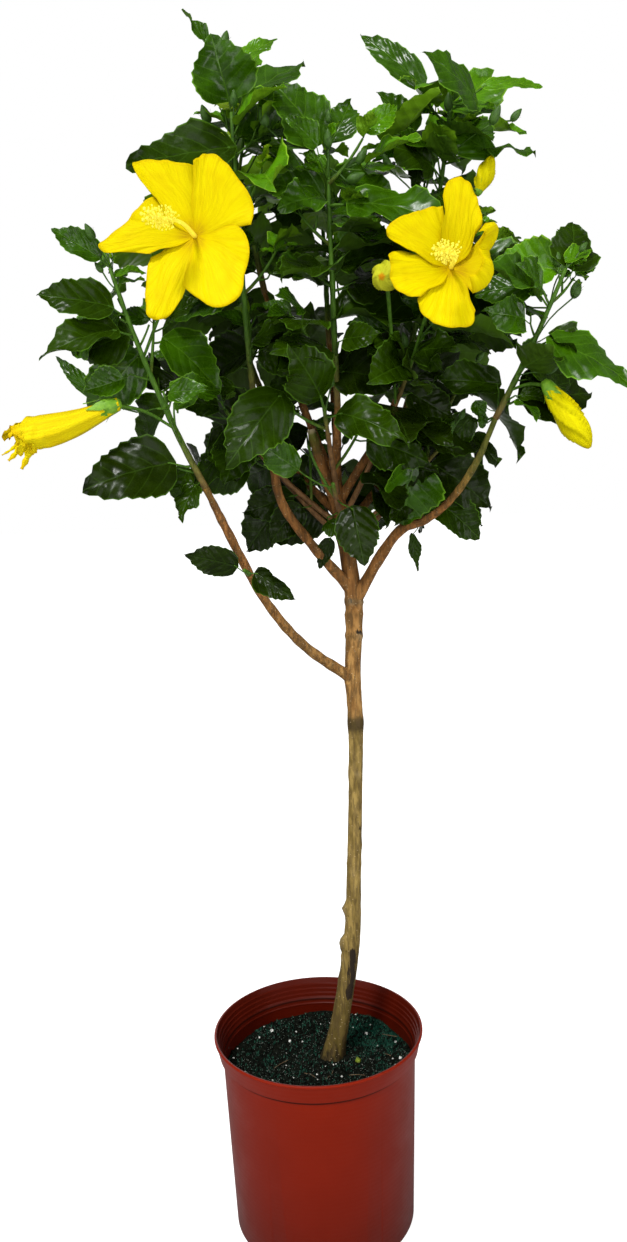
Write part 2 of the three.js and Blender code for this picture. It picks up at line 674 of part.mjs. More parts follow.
// A reaching leaf ends the crown in one direction, on a twig of its own where it is far out.
function growReach([share, heading, climb, reach], mass, key) {
  const root = stemPaths[mass].getPoint(share);
  const tip = moved(root, [toward(heading, climb), reach]);
  const length = reach - reachLeaf.longest;
  let foot = root;
  if (length > reachLeaf.shortestTwig) {
    const bow = reachLeaf.twigBow;
    const path = twigPath({ root, heading, climb: climb + bow, lift: -2 * bow, length });
    growShoot(path, mass);
    foot = path.getPoint(twig.end);
    leavesAlong(path, length, mass, key, twig.bareShoot);
  }
  const stalkLength = THREE.MathUtils.clamp(foot.distanceTo(tip) * reachLeaf.stalkShare, ...reachLeaf.stalks);
  const stalk = moved(tip.clone().sub(foot).normalize(), [upward, reachLeaf.rise]).normalize();
  const neck = moved(foot, [stalk, stalkLength]);
  const along = tip.clone().sub(neck).normalize();
  growLeaf({ root: foot, neck, along, face: faceAt(neck, along, 0), blade: neck.distanceTo(tip) }, mass);
}

// Side shoots turn round a stem by the golden angle and carry leaves of their own.
function growSideShoots(mass) {
  const path = stemPaths[mass];
  const count = Math.floor(masses[mass].length / shoots.every);
  for (let i = 0; i < count; i++) {
    const share = (i + shoots.first) / (count + shoots.last);
    const axis = path.getTangent(share);
    const turn = radians(i * goldenAngle + 360 * draw(mass, i, 8));
    const spoke = spokeOf(axis, upward, rightward).applyAxisAngle(axis, turn);
    const lean = moved(new THREE.Vector3(), [axis, shoots.lean[0]], [spoke, shoots.lean[1]]);
    const length = drawBetween(shoots.lengths, mass, i, 9) * (1 - shoots.shorten * share);
    const shoot = twigPath({ root: path.getPoint(share), ...bearing(lean), lift: shoots.lift, length });
    const end = shoot.getPoint(1);
    if (insideCrown(end) && !hidesFlower(end) && growShoot(shoot, mass)) {
      leavesAlong(shoot, length, mass, i + 1, twig.bareShoot);
    }
  }
}

// A stem starts just clear of the limb that it goes on from.
function growStem(mass) {
  for (const extra of [0, berth]) {
    const whole = limb(stemPaths[mass], tapered(twig.stem + extra, twig.tip + extra), ...facets.stem);
    const stem = limbRooms.reduce((rest, room) => rest.subtract(room), whole);
    if (extra) {
      take(stem, mass);
    } else {
      grown[mass].push(stem);
    }
  }
}

function growFlower(flower) {
  const mass = masses.findIndex(({ name }) => name === flower.on);
  const { pieces, foot } = flower.centre ? openFlower(flower) : closedFlower(flower);
  for (const piece of [...pieces, flowerStalk(stemPaths[mass].getPoint(flower.at), foot)]) {
    grown[mass].push(piece);
    take(piece, mass);
  }
}

limbRooms.forEach(room => take(room, 'limbs'));
masses.forEach((_, mass) => growStem(mass));
flowers.forEach(growFlower);
masses.forEach(({ reaches }, mass) => {
  reaches.forEach((reach, i) => growReach(reach, mass, seeds.reaches + i));
});
masses.forEach(({ length }, mass) => {
  growSideShoots(mass);
  leavesAlong(stemPaths[mass], length, mass, 0, twig.bareStem);
});

// Joins a mass; a scrap that has come loose is dropped.
function joined(pieces) {
  const whole = pieces.reduce((sum, piece) => sum.add(piece)).simplify(weldTolerance);
  return whole.decompose().reduce((largest, part) => (part.volume() > largest.volume() ? part : largest));
}

// ---------------------------------------------------------------- the exported object

const matte = (color, roughness) => new THREE.MeshStandardMaterial({ color, roughness, metalness: 0 });
const group = new THREE.Group();

function addPiece(name, solid, material) {
  const piece = new THREE.Mesh(toGeometry(solid), material);
  piece.name = name;
  group.add(piece);
}

addPiece('pot', makePot(), matte(0x8a2c18, 0.5));
addPiece('soil', makeSoil(), matte(0x1f1a14, 0.95));
for (const [name, solid] of Object.entries(limbs)) {
  addPiece(name, solid, matte(0x8a6a4a, 0.8));
}
masses.forEach(({ name }, index) => addPiece(`foliage_${name}`, joined(grown[index]), matte(0x24591b, 0.45)));

export default group;
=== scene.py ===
# Potted hibiscus standard: bark, twigs, leaves, blossom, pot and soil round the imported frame.
# Sizes in the settings are millimetres in the frame's axes, and meshes are made in metres.
import math
import bpy
import numpy as np
from mathutils import Matrix, Vector, noise
from mathutils.bvhtree import BVHTree


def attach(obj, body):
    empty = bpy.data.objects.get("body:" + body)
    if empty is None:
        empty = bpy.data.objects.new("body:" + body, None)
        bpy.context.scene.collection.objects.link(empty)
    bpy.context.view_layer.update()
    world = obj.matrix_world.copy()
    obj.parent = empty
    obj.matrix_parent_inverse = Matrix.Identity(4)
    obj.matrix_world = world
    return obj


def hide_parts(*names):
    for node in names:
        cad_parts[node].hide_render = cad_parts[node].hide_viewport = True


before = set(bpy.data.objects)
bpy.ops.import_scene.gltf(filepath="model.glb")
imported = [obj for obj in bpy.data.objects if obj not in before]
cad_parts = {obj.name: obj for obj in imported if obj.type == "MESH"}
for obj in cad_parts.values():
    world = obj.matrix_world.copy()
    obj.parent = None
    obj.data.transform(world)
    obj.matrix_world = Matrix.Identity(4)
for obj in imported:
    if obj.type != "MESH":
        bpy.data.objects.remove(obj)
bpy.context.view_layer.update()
mm = 0.001
upward = Vector((0, 0, 1))
rightward = Vector((1, 0, 0))
goldenAngle = 137.5


def draw(a, b, c):
    # the same draw from 0 to 1 each time for the same three whole numbers
    mixed = math.sin(a * 127.1 + b * 311.7 + c * 74.7) * 43758.5453
    return mixed - math.floor(mixed)


def drawBetween(limits, a, b, c):
    return limits[0] + (limits[1] - limits[0]) * draw(a, b, c)


def mix(low, high, share):
    return low + (high - low) * share


def clamp(value, low=0.0, high=1.0):
    return max(low, min(high, value))


def smooth(low, high, value):
    share = clamp((value - low) / (high - low))
    return share * share * (3 - 2 * share)


def toward(heading, climb):
    level = math.cos(math.radians(climb))
    x = level * math.cos(math.radians(heading))
    y = level * math.sin(math.radians(heading))
    return Vector((x, y, math.sin(math.radians(climb))))


def bearing(direction):
    heading = math.degrees(math.atan2(direction.y, direction.x))
    return heading, math.degrees(math.asin(clamp(direction.z / direction.length, -1, 1)))


def squareTo(direction, axis):
    return (direction - axis * direction.dot(axis)).normalized()


def spokeOf(axis, first, second):
    # square to the axis, from the second direction where the first runs nearly along it
    return squareTo(first if abs(axis.dot(first)) < 0.9 else second, axis)


def turned(direction, axis, degrees):
    return Matrix.Rotation(math.radians(degrees), 3, axis) @ direction


def spokeAt(axis, degrees):
    return turned(spokeOf(axis, upward, rightward), axis, degrees)


# A path is a list of points with a centripetal spline through them.
def splineAxis(p, d):
    start = (p[1] - p[0]) / d[0] - (p[2] - p[0]) / (d[0] + d[1]) + (p[2] - p[1]) / d[1]
    end = (p[2] - p[1]) / d[1] - (p[3] - p[1]) / (d[1] + d[2]) + (p[3] - p[2]) / d[2]
    return start * d[1], end * d[1]


def pathPoint(path, share):
    place = clamp(share) * (len(path) - 1)
    i = min(int(place), len(path) - 2)
    t = place - i
    before = path[i - 1] if i > 0 else path[0] * 2 - path[1]
    after = path[i + 2] if i + 2 < len(path) else path[-1] * 2 - path[-2]
    p = [before, path[i], path[i + 1], after]
    d = [max((p[k + 1] - p[k]).length, 1e-6) ** 0.5 for k in range(3)]
    start, end = splineAxis(p, d)
    square = p[1] * -3 + p[2] * 3 - start * 2 - end
    cube = p[1] * 2 - p[2] * 2 + start + end
    return p[1] + start * t + square * (t * t) + cube * (t * t * t)


def pathTangent(path, share):
    low, high = max(0, share - 0.001), min(1, share + 0.001)
    return (pathPoint(path, high) - pathPoint(path, low)).normalized()


def twigPath(root, heading, climb, length, turn=0, lift=0, steps=5):
    path = [root.copy()]
    for i in range(steps):
        share = (i + 0.5) / steps
        path.append(path[-1] + toward(heading + turn * share, climb + lift * share) * (length / steps))
    return path


def tubeFaces(sides, steps):
    faces = [tuple(range(sides - 1, -1, -1)), tuple(range(steps * sides, (steps + 1) * sides))]
    for i in range(steps):
        for k in range(sides):
            nextK = (k + 1) % sides
            low, high = i * sides, (i + 1) * sides
            faces.append((low + k, low + nextK, high + nextK, high + k))
    return faces


def tubeShape(path, radiusAt, sides, steps):
    # corner points, faces and the share of the path at each point
    points, shares = [], []
    across = spokeOf(pathTangent(path, 0), rightward, upward)
    for i in range(steps + 1):
        share = i / steps
        along = pathTangent(path, share)
        across = squareTo(across, along)
        over = along.cross(across)
        at = pathPoint(path, share)
        for k in range(sides):
            angle = 2 * math.pi * k / sides
            points.append(at + (across * math.cos(angle) + over * math.sin(angle)) * radiusAt(share))
            shares.append(share)
    return points, tubeFaces(sides, steps), shares


def tapered(start, end):
    return lambda share: mix(start, end, share)


ground = {"top": 198, "clear": 0.3}
trunkPlan = {
    # height above the ground, right, back, thickness
    "stations": [
        (-8, 15, 10, 32), (0, 17, 10, 28), (22, 22, 9.5, 24), (54, 29, 8, 22), (150, 45, 3, 20),
        (247, 51, 0, 17), (341, 56, 0, 16.5), (419, 59, 0, 17.5), (480, 58, 0, 18.5), (564, 62, 0, 20),
        (626, 56, 0, 18.5), (672, 50, 0, 17), (706, 46, 0, 14),
    ],
}
boughPlan = {
    "low_left": (673, 12.5, 8, [(210, 36, 80), (208, 50, 69), (226, 57, 100), (215, 63, 49)]),
    "left": (778, 12.5, 7.5, [(208, 47, 62), (202, 54, 71), (225, 75, 62), (217, 65, 40)]),
    "right": (764, 12.5, 7.5, [(330, 53, 102), (322, 18, 34), (321, 33, 38), (320, 49, 48), (336, 64, 56)]),
    "back_right": (846, 10, 7, [(40, 42, 95), (52, 58, 95)]),
    "back_left": (862, 10, 7, [(140, 42, 95), (130, 60, 95)]),
    "stub": (868, 15, 9.5, [(214, 66, 60), (200, 74, 40)]),
    "inner_right": (880, 9.5, 7, [(338, 55, 100), (327, 60, 42)]),
    "back": (886, 9.5, 7, [(88, 62, 110), (95, 72, 90)]),
    "top_left": (894, 9.5, 6.5, [(182, 70, 130), (178, 74, 104)]),
    "centre": (898, 9, 6.5, [(272, 55, 104)]),
}


def massNumber(name):
    return next(i for i, mass in enumerate(masses) if mass["name"] == name)


# One mass of foliage: the bough or height that its stem leaves from, how the stem runs, and the
# leaves that end the crown: share of the stem, heading, climb, distance to the leaf's tip.
def massPlan(name, heading, climb, lift, length, reaches, bough=None, at=None, turn=0):
    return {"name": name, "heading": heading, "climb": climb, "lift": lift, "length": length,
            "reaches": reaches, "bough": bough, "at": at, "turn": turn}


masses = [
    massPlan("left", 206, 62, 12, 235, [
        (0.8, 205, 15, 85), (0.72, 215, -5, 95), (1, 190, 35, 65), (0.47, 170, 20, 110),
        (0.42, 140, 15, 105), (0.12, 205, -5, 115), (0.05, 225, -45, 50), (0.35, 230, -20, 70),
        (0.9, 110, 5, 85)], bough="low_left"),
    massPlan("upper_left", 258, 74, 16, 300, [
        (0.85, 195, -5, 110), (1, 245, 60, 60), (0.98, 30, 45, 110), (0.92, 315, 35, 75)], bough="left"),
    massPlan("top_left", 190, 79, 2, 235, [(1, 205, 65, 70), (0.8, 35, 60, 95)], bough="top_left"),
    massPlan("centre_up", 266, 66, 26, 250, [
        (1, 215, 50, 65), (1, 30, 60, 65), (0.8, 330, -5, 130), (0.55, 235, -5, 80),
        (0.7, 245, -40, 110), (0.4, 300, -20, 110)], bough="centre"),
    massPlan("top_right", 350, 74, 8, 300, [
        (0.92, 170, 50, 135), (1, 235, 25, 75), (1, 350, 10, 105), (0.8, 320, 0, 105),
        (0.75, 225, 20, 85), (0.9, 40, 50, 115)], bough="inner_right"),
    massPlan("right", 338, 60, 6, 160, [
        (0.5, 345, -20, 95), (0.93, 340, 35, 55), (0.88, 70, 70, 70), (0.1, 20, 5, 115),
        (0.75, 215, 30, 90), (0.3, 285, 10, 85)], bough="right"),
    massPlan("back_left", 135, 62, 14, 210, [(1, 210, -10, 150), (0.9, 230, 30, 130)], bough="back_left"),
    massPlan("back_right", 48, 62, 14, 210, [(1, 310, 0, 190), (0.8, 335, -15, 180)], bough="back_right"),
    massPlan("back", 92, 74, 8, 190, [], bough="back"),
    massPlan("low_left", 262, 10, 6, 30, [(0.5, 205, 20, 70), (0.9, 330, -25, 70)],
             bough="low_left", at=0.6),
    massPlan("low_right", 70, 60, 6, 110, [
        (0.02, 130, -85, 60), (0.3, 350, -35, 80), (0.7, 25, -30, 95), (0.15, 335, -55, 50)],
             bough="right", at=0.36),
    massPlan("low_front", 262, 20, 10, 90, [(0.6, 285, -58, 80), (0.9, 225, 30, 95)], at=862),
    massPlan("inner_left", 172, 38, 15, 190, [
        (0.5, 225, -30, 95), (0.9, 270, -35, 105), (1, 215, 10, 55)], at=850, turn=44),
    massPlan("centre_front", 262, 34, 10, 150, [
        (0.95, 255, 30, 95), (0.9, 315, -10, 100), (0.7, 230, -15, 105), (1, 305, 10, 105)], at=884),
    massPlan("right_mid", 312, 50, 12, 215, [], at=858),
    massPlan("inner_right", 336, 36, 10, 170, [(0.5, 265, -30, 60), (0.9, 285, -20, 80)], at=836),
    massPlan("side_left", 170, 42, 24, 265, [
        (0.3, 150, -40, 100), (0.25, 145, -70, 65), (0.9, 165, 0, 135), (0.7, 160, -25, 120)], at=834),
    massPlan("side_right", 14, 42, 22, 245, [(0.5, 40, -40, 80), (0.95, 5, -35, 115)], at=822),
    massPlan("low_back", 92, 38, 10, 170, [], at=826),
]
leafPlan = {
    "sizes": (70, 100), "stalks": (11, 24), "low": (0.17, 0.33), "high": (0.58, 0.29), "middle": 0.42,
    "thick": 0.015, "fold": 0.1, "droop": 0.16, "stalkRoot": 0.6, "stalkNeck": 1.1,
    "shrinkAtTip": 0.3, "shrinkPerTry": 0.93,
}
twigPlan = {
    "stem": 3, "shoot": 2, "tip": 1.5, "end": 0.985, "bareStem": 24, "bareShoot": 22, "spacing": 20,
    "spread": (45, 70), "endSpread": 15, "turnVaries": 60, "tries": 7, "tryTurn": 73, "berth": 0.5,
}
shootPlan = {"every": 62, "first": 0.8, "last": 0.3, "lengths": (55, 90), "shorten": 0.35,
             "lean": (0.6, 0.8), "lift": 20}
reachPlan = {"longest": 112, "shortestTwig": 12, "twigBow": 8, "stalkShare": 0.22, "stalks": (9, 30),
             "rise": 0.25}
seedPlan = {"leavesPerTwig": 40, "reaches": 60, "placed": 700}
# how brown a twig is at its root and at its tip, where 0 and less is green
twigAges = {"stem": (0.62, -0.5), "trunkStem": (1.5, 0.3), "shoot": (0.45, 0.0), "spur": (0.3, 0.0)}
# How single reaching leaves differ: stem and place in its list of reaches, then how wide and long
# against the usual, how far the face turns to the front, how it curls, where it is moved to, and its
# tint from 0, the lightest, which paints the leaf's light or shade along with its own green.
leafLooks = {
    ("upper_left", 0): {"wide": 0.74, "long": 1.22, "front": 1.0, "tint": 3, "shift": (20, 0, 6)},
    ("upper_left", 1): {"wide": 1.4, "long": 1.2, "tint": 2},
    ("upper_left", 2): {"tint": 2},
    ("upper_left", 3): {"tint": 1},
    ("top_left", 0): {"wide": 0.42, "curl": 2, "tint": 2},
    ("top_left", 1): {"tint": 1, "wide": 0.8},
    ("left", 0): {"tint": 3, "wide": 0.8},
    ("left", 1): {"tint": 3, "front": 0.4, "wide": 0.8},
    ("left", 2): {"wide": 0.7, "tint": 2},
    ("left", 3): {"wide": 0.4, "long": 0.8, "tint": 4, "shift": (30, 40, 0)},
    ("left", 5): {"wide": 1.1, "tint": 4},
    ("left", 4): {"wide": 0.6, "long": 0.9, "shift": (6, 40, 26), "tint": 4},
    ("centre_up", 0): {"wide": 1.4, "long": 1.25, "front": 0.8, "tint": 2},
    ("centre_up", 1): {"tint": 2},
    ("centre_up", 2): {"wide": 0.75, "long": 1.15, "front": 0.7, "curl": 2, "tint": 2, "shift": (-14, 0, -6)},
    ("top_right", 0): {"wide": 0.5, "tint": 2, "shift": (0, 0, 8), "front": 3.5, "wave": 0.2},
    ("top_right", 1): {"long": 1.35, "wide": 0.85, "front": 1.2, "tint": 2, "shift": (30, -10, -14),
                       "wave": 0.6},
    ("top_right", 2): {"wide": 0.48, "long": 0.72, "front": 0.3, "tint": 1, "shift": (14, 0, 6), "wave": 0.3},
    ("top_right", 3): {"long": 0.7, "wide": 0.8, "shift": (24, 0, 4), "tint": 2},
    ("top_right", 4): {"front": 0.8, "tint": 3},
    ("right", 0): {"wide": 0.9, "long": 1.2, "curl": 1.6, "tint": 2, "shift": (-6, -20, 4)},
    ("right", 2): {"wide": 1.5, "front": 0.8, "tint": 3, "shift": (16, 0, 4)},
    ("right", 3): {"tint": 4},
    ("low_front", 0): {"tint": 4, "shift": (14, 0, 2), "wave": 0.4, "wide": 0.95},
    ("low_front", 1): {"wide": 0.8, "long": 0.8, "tint": 2, "shift": (-28, 0, 8)},
    ("centre_front", 1): {"curl": 1.5, "wide": 0.8, "tint": 3},
    ("centre_front", 0): {"tint": 3},
    ("low_right", 1): {"tint": 3},
    ("low_right", 2): {"tint": 4},
    ("low_left", 0): {"wide": 0.85, "tint": 4},
    ("low_left", 1): {"curl": 3, "tint": 4, "wide": 0.75, "long": 0.9, "wave": 1.4},
}
# Single leaves besides: stem, share of it, neck, tip, and how they look.
placedLeaves = [
    ("inner_left", 0.1, (30, 25, 876), (-38, 25, 832), {"wide": 1.0, "tint": 4}),
    ("inner_right", 0.2, (128, -60, 914), (114, -60, 852), {"wide": 1.2, "tint": 2, "front": 0.8, "curl": 2}),
    ("low_right", 0.02, (129, -20, 839), (137, -20, 797), {"wide": 0.4, "tint": 3}),
    ("top_left", 0.95, (-40, -20, 1350), (-2, -20, 1378),
     {"wide": 0.8, "tint": 1, "front": 0.5, "wave": 0.5}),
    ("low_front", 0.2, (36, -24, 838), (22, -24, 806), {"wide": 0.7, "tint": 4}),
    ("top_left", 0.3, (29, -40, 1216), (-22, -40, 1278), {"wide": 0.5, "tint": 1, "front": 0.5}),
    ("top_left", 0.25, (46, -30, 1188), (-16, -30, 1204), {"wide": 1.0, "tint": 3, "front": 0.8}),
    ("side_left", 0.5, (-62, 20, 984), (-150, 20, 1056), {"wide": 0.7, "tint": 4, "front": 0.5}),
    ("inner_left", 0.5, (-76, -30, 966), (-70, -30, 906), {"wide": 1.1, "tint": 4, "front": 1}),
    ("left", 0.1, (-112, -90, 920), (-132, -90, 886), {"wide": 1.0, "tint": 3, "front": 0.6}),
    ("top_right", 0.72, (149, -60, 1257), (142, -60, 1206), {"wide": 1.1, "tint": 3, "front": 1}),
    ("top_right", 0.7, (139, -40, 1266), (109, -40, 1313), {"wide": 0.85, "tint": 2, "front": 0.8}),
    ("top_right", 0.85, (219, -60, 1233), (167, -60, 1278), {"wide": 0.75, "tint": 2, "front": 0.8}),
    ("top_right", 0.9, (205, -20, 1281), (168, -20, 1298), {"wide": 0.9, "tint": 3, "front": 0.6}),
    ("top_left", 0.5, (11, 0, 1330), (-36, 0, 1293), {"wide": 0.9, "tint": 2, "front": 0.5}),
    ("right", 0.05, (194, -80, 979), (203, -80, 952), {"wide": 1.0, "tint": 2, "front": 0.6}),
    ("right", 0.04, (219, -70, 998), (152, -70, 1008), {"wide": 0.75, "tint": 3, "front": 0.8}),
    ("right", 0.02, (184, 20, 977), (232, 20, 918), {"wide": 0.9, "tint": 4}),
    ("right", 0.02, (196, -30, 966), (160, -30, 930), {"wide": 1.0, "tint": 3, "front": 0.6}),
    ("left", 0.4, (-210, -60, 1002), (-248, -60, 1047), {"wide": 0.36, "tint": 2, "curl": 2, "front": 0.5}),
    ("right", 0.75, (224, -90, 1084), (239, -90, 1140), {"wide": 1.15, "tint": 3, "front": 1, "wave": 0.5}),
    ("right", 0.02, (179, -20, 877), (211, -20, 848), {"wide": 0.9, "tint": 3, "front": 0.5}),
    ("low_right", 0.2, (150, -40, 865), (93, -40, 891), {"wide": 0.9, "tint": 2, "front": 0.6}),
]
# Openings of the crown that show from in front: right and up on the plane through the pot's axis,
# and how wide. Leaves that would close them are left out, but not those with looks of their own.
openings = [
    (192, 984, 18), (237, 1029, 22), (24, 846, 13), (-125, 956, 28), (-125, 1025, 16), (-75, 977, 16),
    (-25, 1115, 14), (-35, 1028, 10), (299, 1078, 26), (273, 1203, 28), (289, 1160, 24), (-129, 1323, 34),
    (-98, 1341, 26), (-120, 1295, 24), (0, 1248, 14), (-3, 1187, 10), (80, 1285, 14), (-195, 994, 18),
    (44, 878, 14), (-219, 1037, 24), (-180, 1112, 8), (-99, 1077, 8), (-78, 890, 16), (20, 883, 12),
    (112, 828, 28), (164, 831, 30), (194, 910, 10), (42, 1107, 8), (-199, 959, 14), (58, 949, 22),
]
openingReach = {"wide": 0.6, "blade": 0.1}
eye = Vector((0, -1153, 890))
crown = {
    "heart": Vector((45, -10, 1040)), "wide": 290, "deep": 280, "high": 344, "leanRight": 0.15,
    "skirt": 800, "skirtRise": 0.35, "rankHeight": 520, "lowClimb": -48, "highClimb": 12,
    "climbVaries": (-22, 22), "headingVaries": (-15, 15), "rollVaries": (-30, 30),
    "skyward": 0.5, "outward": 0.6, "frontward": 0.75, "divide": 60, "blend": 90, "lean": 0.6,
}
# Places that show from in front, which only reaching leaves may hide: the boughs round the trunk's
# head, from low to high, and some stems, as far to each side as beside says.
openFront = {
    "low": (-15, -300, 868), "high": (92, -5, 985), "stems": ("left", "upper_left", "centre_up", "right"),
    "beside": 18, "before": 4, "along": (0.3, 0.65, 1),
}

trunkPath = [Vector((x, y, ground["top"] + ground["clear"] + height))
             for height, x, y, thick in trunkPlan["stations"]]


def trunkRadius(share):
    stations = trunkPlan["stations"]
    place = share * (len(stations) - 1)
    i = min(int(place), len(stations) - 2)
    return mix(stations[i][3], stations[i + 1][3], place - i) / 2


def trunkMiddle(height):
    for low, high in zip(trunkPath, trunkPath[1:]):
        if high.z > height:
            share = (height - low.z) / (high.z - low.z)
            return Vector((mix(low.x, high.x, share), mix(low.y, high.y, share), height))


boughPaths = {}
for name, (height, thick, tip, legs) in boughPlan.items():
    boughPaths[name] = [trunkMiddle(height)]
    for heading, climb, run in legs:
        boughPaths[name].append(boughPaths[name][-1] + toward(heading, climb) * run)


def stemPath(mass):
    if mass["bough"]:
        root = pathPoint(boughPaths[mass["bough"]], mass["at"] or twigPlan["end"])
    else:
        root = trunkMiddle(mass["at"])
    return twigPath(root, mass["heading"], mass["climb"], mass["length"], mass["turn"], mass["lift"], 6)


stemPaths = [stemPath(mass) for mass in masses]


def addNode(tree, kind, inputs=None, **settings):
    made = tree.nodes.new(kind)
    for name, value in settings.items():
        setattr(made, name, value)
    for name, value in (inputs or {}).items():
        if isinstance(value, bpy.types.NodeSocket):
            tree.links.new(value, made.inputs[name])
        else:
            made.inputs[name].default_value = value
    return made


def mathNode(tree, operation, first, second=0.0):
    return addNode(tree, "ShaderNodeMath", {0: first, 1: second}, operation=operation).outputs[0]


def times(tree, first, second):
    return mathNode(tree, "MULTIPLY", first, second)


def plus(tree, first, second):
    return mathNode(tree, "ADD", first, second)


def minus(tree, first, second):
    return mathNode(tree, "SUBTRACT", first, second)


def valueOf(tree, name):
    return addNode(tree, "ShaderNodeAttribute", attribute_name=name).outputs["Fac"]


def objectPlace(tree):
    return addNode(tree, "ShaderNodeTexCoord").outputs["Object"]


def partOf(tree, vector, axis):
    return addNode(tree, "ShaderNodeSeparateXYZ", {"Vector": vector}).outputs[axis]


def ramp(tree, value, fromLow, fromHigh, toLow=0.0, toHigh=1.0):
    inputs = {"Value": value, "From Min": fromLow, "From Max": fromHigh, "To Min": toLow, "To Max": toHigh}
    return addNode(tree, "ShaderNodeMapRange", inputs, interpolation_type="SMOOTHSTEP").outputs[0]


def blendColour(tree, share, first, second):
    return addNode(tree, "ShaderNodeMixRGB", {"Fac": share, "Color1": first, "Color2": second}).outputs[0]


def layered(tree, base, *layers):
    # coats over the base, each with how much of it shows
    for share, paint in layers:
        base = blendColour(tree, share, base, paint)
    return base


def roughFrom(tree, relief, low, high):
    return ramp(tree, relief, 0.3, 0.7, low, high)


def colour(red, green, blue):
    return (red, green, blue, 1.0)


def toned(paint, share):
    return colour(*(share * part for part in paint[:3]))


def newGroup(name, inputs, outputs):
    group = bpy.data.node_groups.new(name, "ShaderNodeTree")
    for label, kind, value in inputs:
        socket = group.interface.new_socket(label, in_out="INPUT", socket_type=kind)
        socket.default_value = value
    for label, kind in outputs:
        group.interface.new_socket(label, in_out="OUTPUT", socket_type=kind)
    return group, group.nodes.new("NodeGroupInput"), group.nodes.new("NodeGroupOutput")


def newMaterial(name, plain):
    material = bpy.data.materials.new(name)
    material.use_nodes = True
    tree = material.node_tree
    shader = tree.nodes["Principled BSDF"]
    for socket, value in plain.items():
        shader.inputs[socket].default_value = value
    return material, tree, shader


def connect(tree, shader, **sockets):
    for name, value in sockets.items():
        tree.links.new(value, shader.inputs[name.replace("_", " ")])


def bump(tree, height, strength, distance):
    inputs = {"Height": height, "Strength": strength, "Distance": distance * mm}
    return addNode(tree, "ShaderNodeBump", inputs).outputs[0]


def noiseValue(tree, vector, scale, detail=3.0, rough=0.55):
    inputs = {"Vector": vector, "Scale": scale, "Detail": detail, "Roughness": rough}
    return addNode(tree, "ShaderNodeTexNoise", inputs).outputs["Fac"]


def stretched(tree, vector, scale):
    return addNode(tree, "ShaderNodeMapping", {"Vector": vector, "Scale": scale}).outputs[0]


# Grain: mottling and fine relief that every grown or moulded surface has, at its own scale.
def makeGrain():
    group, given, wanted = newGroup(
        "fineGrain",
        [("Coarse", "NodeSocketFloat", 60.0), ("Fine", "NodeSocketFloat", 600.0),
         ("Stretch", "NodeSocketVector", (1.0, 1.0, 1.0))],
        [("Mottle", "NodeSocketFloat"), ("Relief", "NodeSocketFloat")])
    place = objectPlace(group)
    vector = stretched(group, place, given.outputs["Stretch"])
    coarse = noiseValue(group, vector, given.outputs["Coarse"], 5.0, 0.6)
    fine = noiseValue(group, vector, given.outputs["Fine"], 3.0, 0.6)
    group.links.new(ramp(group, coarse, 0.3, 0.7), wanted.inputs["Mottle"])
    group.links.new(plus(group, times(group, coarse, 0.6), times(group, fine, 0.4)), wanted.inputs["Relief"])
    return group


def placeGrain(tree, coarse, fine, stretch=(1.0, 1.0, 1.0)):
    inputs = {"Coarse": coarse, "Fine": fine, "Stretch": stretch}
    placed = addNode(tree, "ShaderNodeGroup", inputs, node_tree=grainGroup)
    return placed.outputs["Mottle"], placed.outputs["Relief"]


# Veins of a leaf on its own map: midrib, curved side veins, the puffed cells between, the rim.
def makeVeins():
    settings = {"slant": 0.75, "bow": 0.9, "every": 0.2, "width": 0.012, "midrib": 0.012, "cells": 9.0}
    group, given, wanted = newGroup("leafVeins", [("Cells", "NodeSocketFloat", settings["cells"])], [
        ("Veins", "NodeSocketFloat"), ("Quilt", "NodeSocketFloat"), ("Rim", "NodeSocketFloat")])
    uv = addNode(group, "ShaderNodeUVMap", uv_map="blade").outputs[0]
    parts = addNode(group, "ShaderNodeSeparateXYZ", {"Vector": uv})
    side = mathNode(group, "ABSOLUTE", minus(group, parts.outputs["Y"], 0.5))
    bowed = times(group, times(group, side, side), settings["bow"])
    slanted = plus(group, times(group, side, settings["slant"]), bowed)
    slanted = minus(group, parts.outputs["X"], slanted)
    wave = mathNode(group, "PINGPONG", slanted, settings["every"] / 2)
    sideVeins = ramp(group, wave, 0.0, settings["width"], 0.7, 0.0)
    midrib = ramp(group, side, 0.0, settings["midrib"], 1.0, 0.0)
    veins = mathNode(group, "MAXIMUM", sideVeins, midrib)
    cells = addNode(group, "ShaderNodeTexVoronoi", {"Vector": uv, "Scale": given.outputs["Cells"]},
                    feature="SMOOTH_F1").outputs["Distance"]
    puff = plus(group, ramp(group, wave, 0.0, settings["every"] / 2, 0.0, 0.55),
                    ramp(group, cells, 0.1, 0.7, 0.6, 0.0))
    puff = times(group, puff, ramp(group, side, 0.0, 0.04))
    rim = valueOf(group, "rim")
    group.links.new(veins, wanted.inputs["Veins"])
    group.links.new(puff, wanted.inputs["Quilt"])
    group.links.new(ramp(group, rim, 0.84, 0.97), wanted.inputs["Rim"])
    return group


grainGroup = makeGrain()
veinGroup = makeVeins()
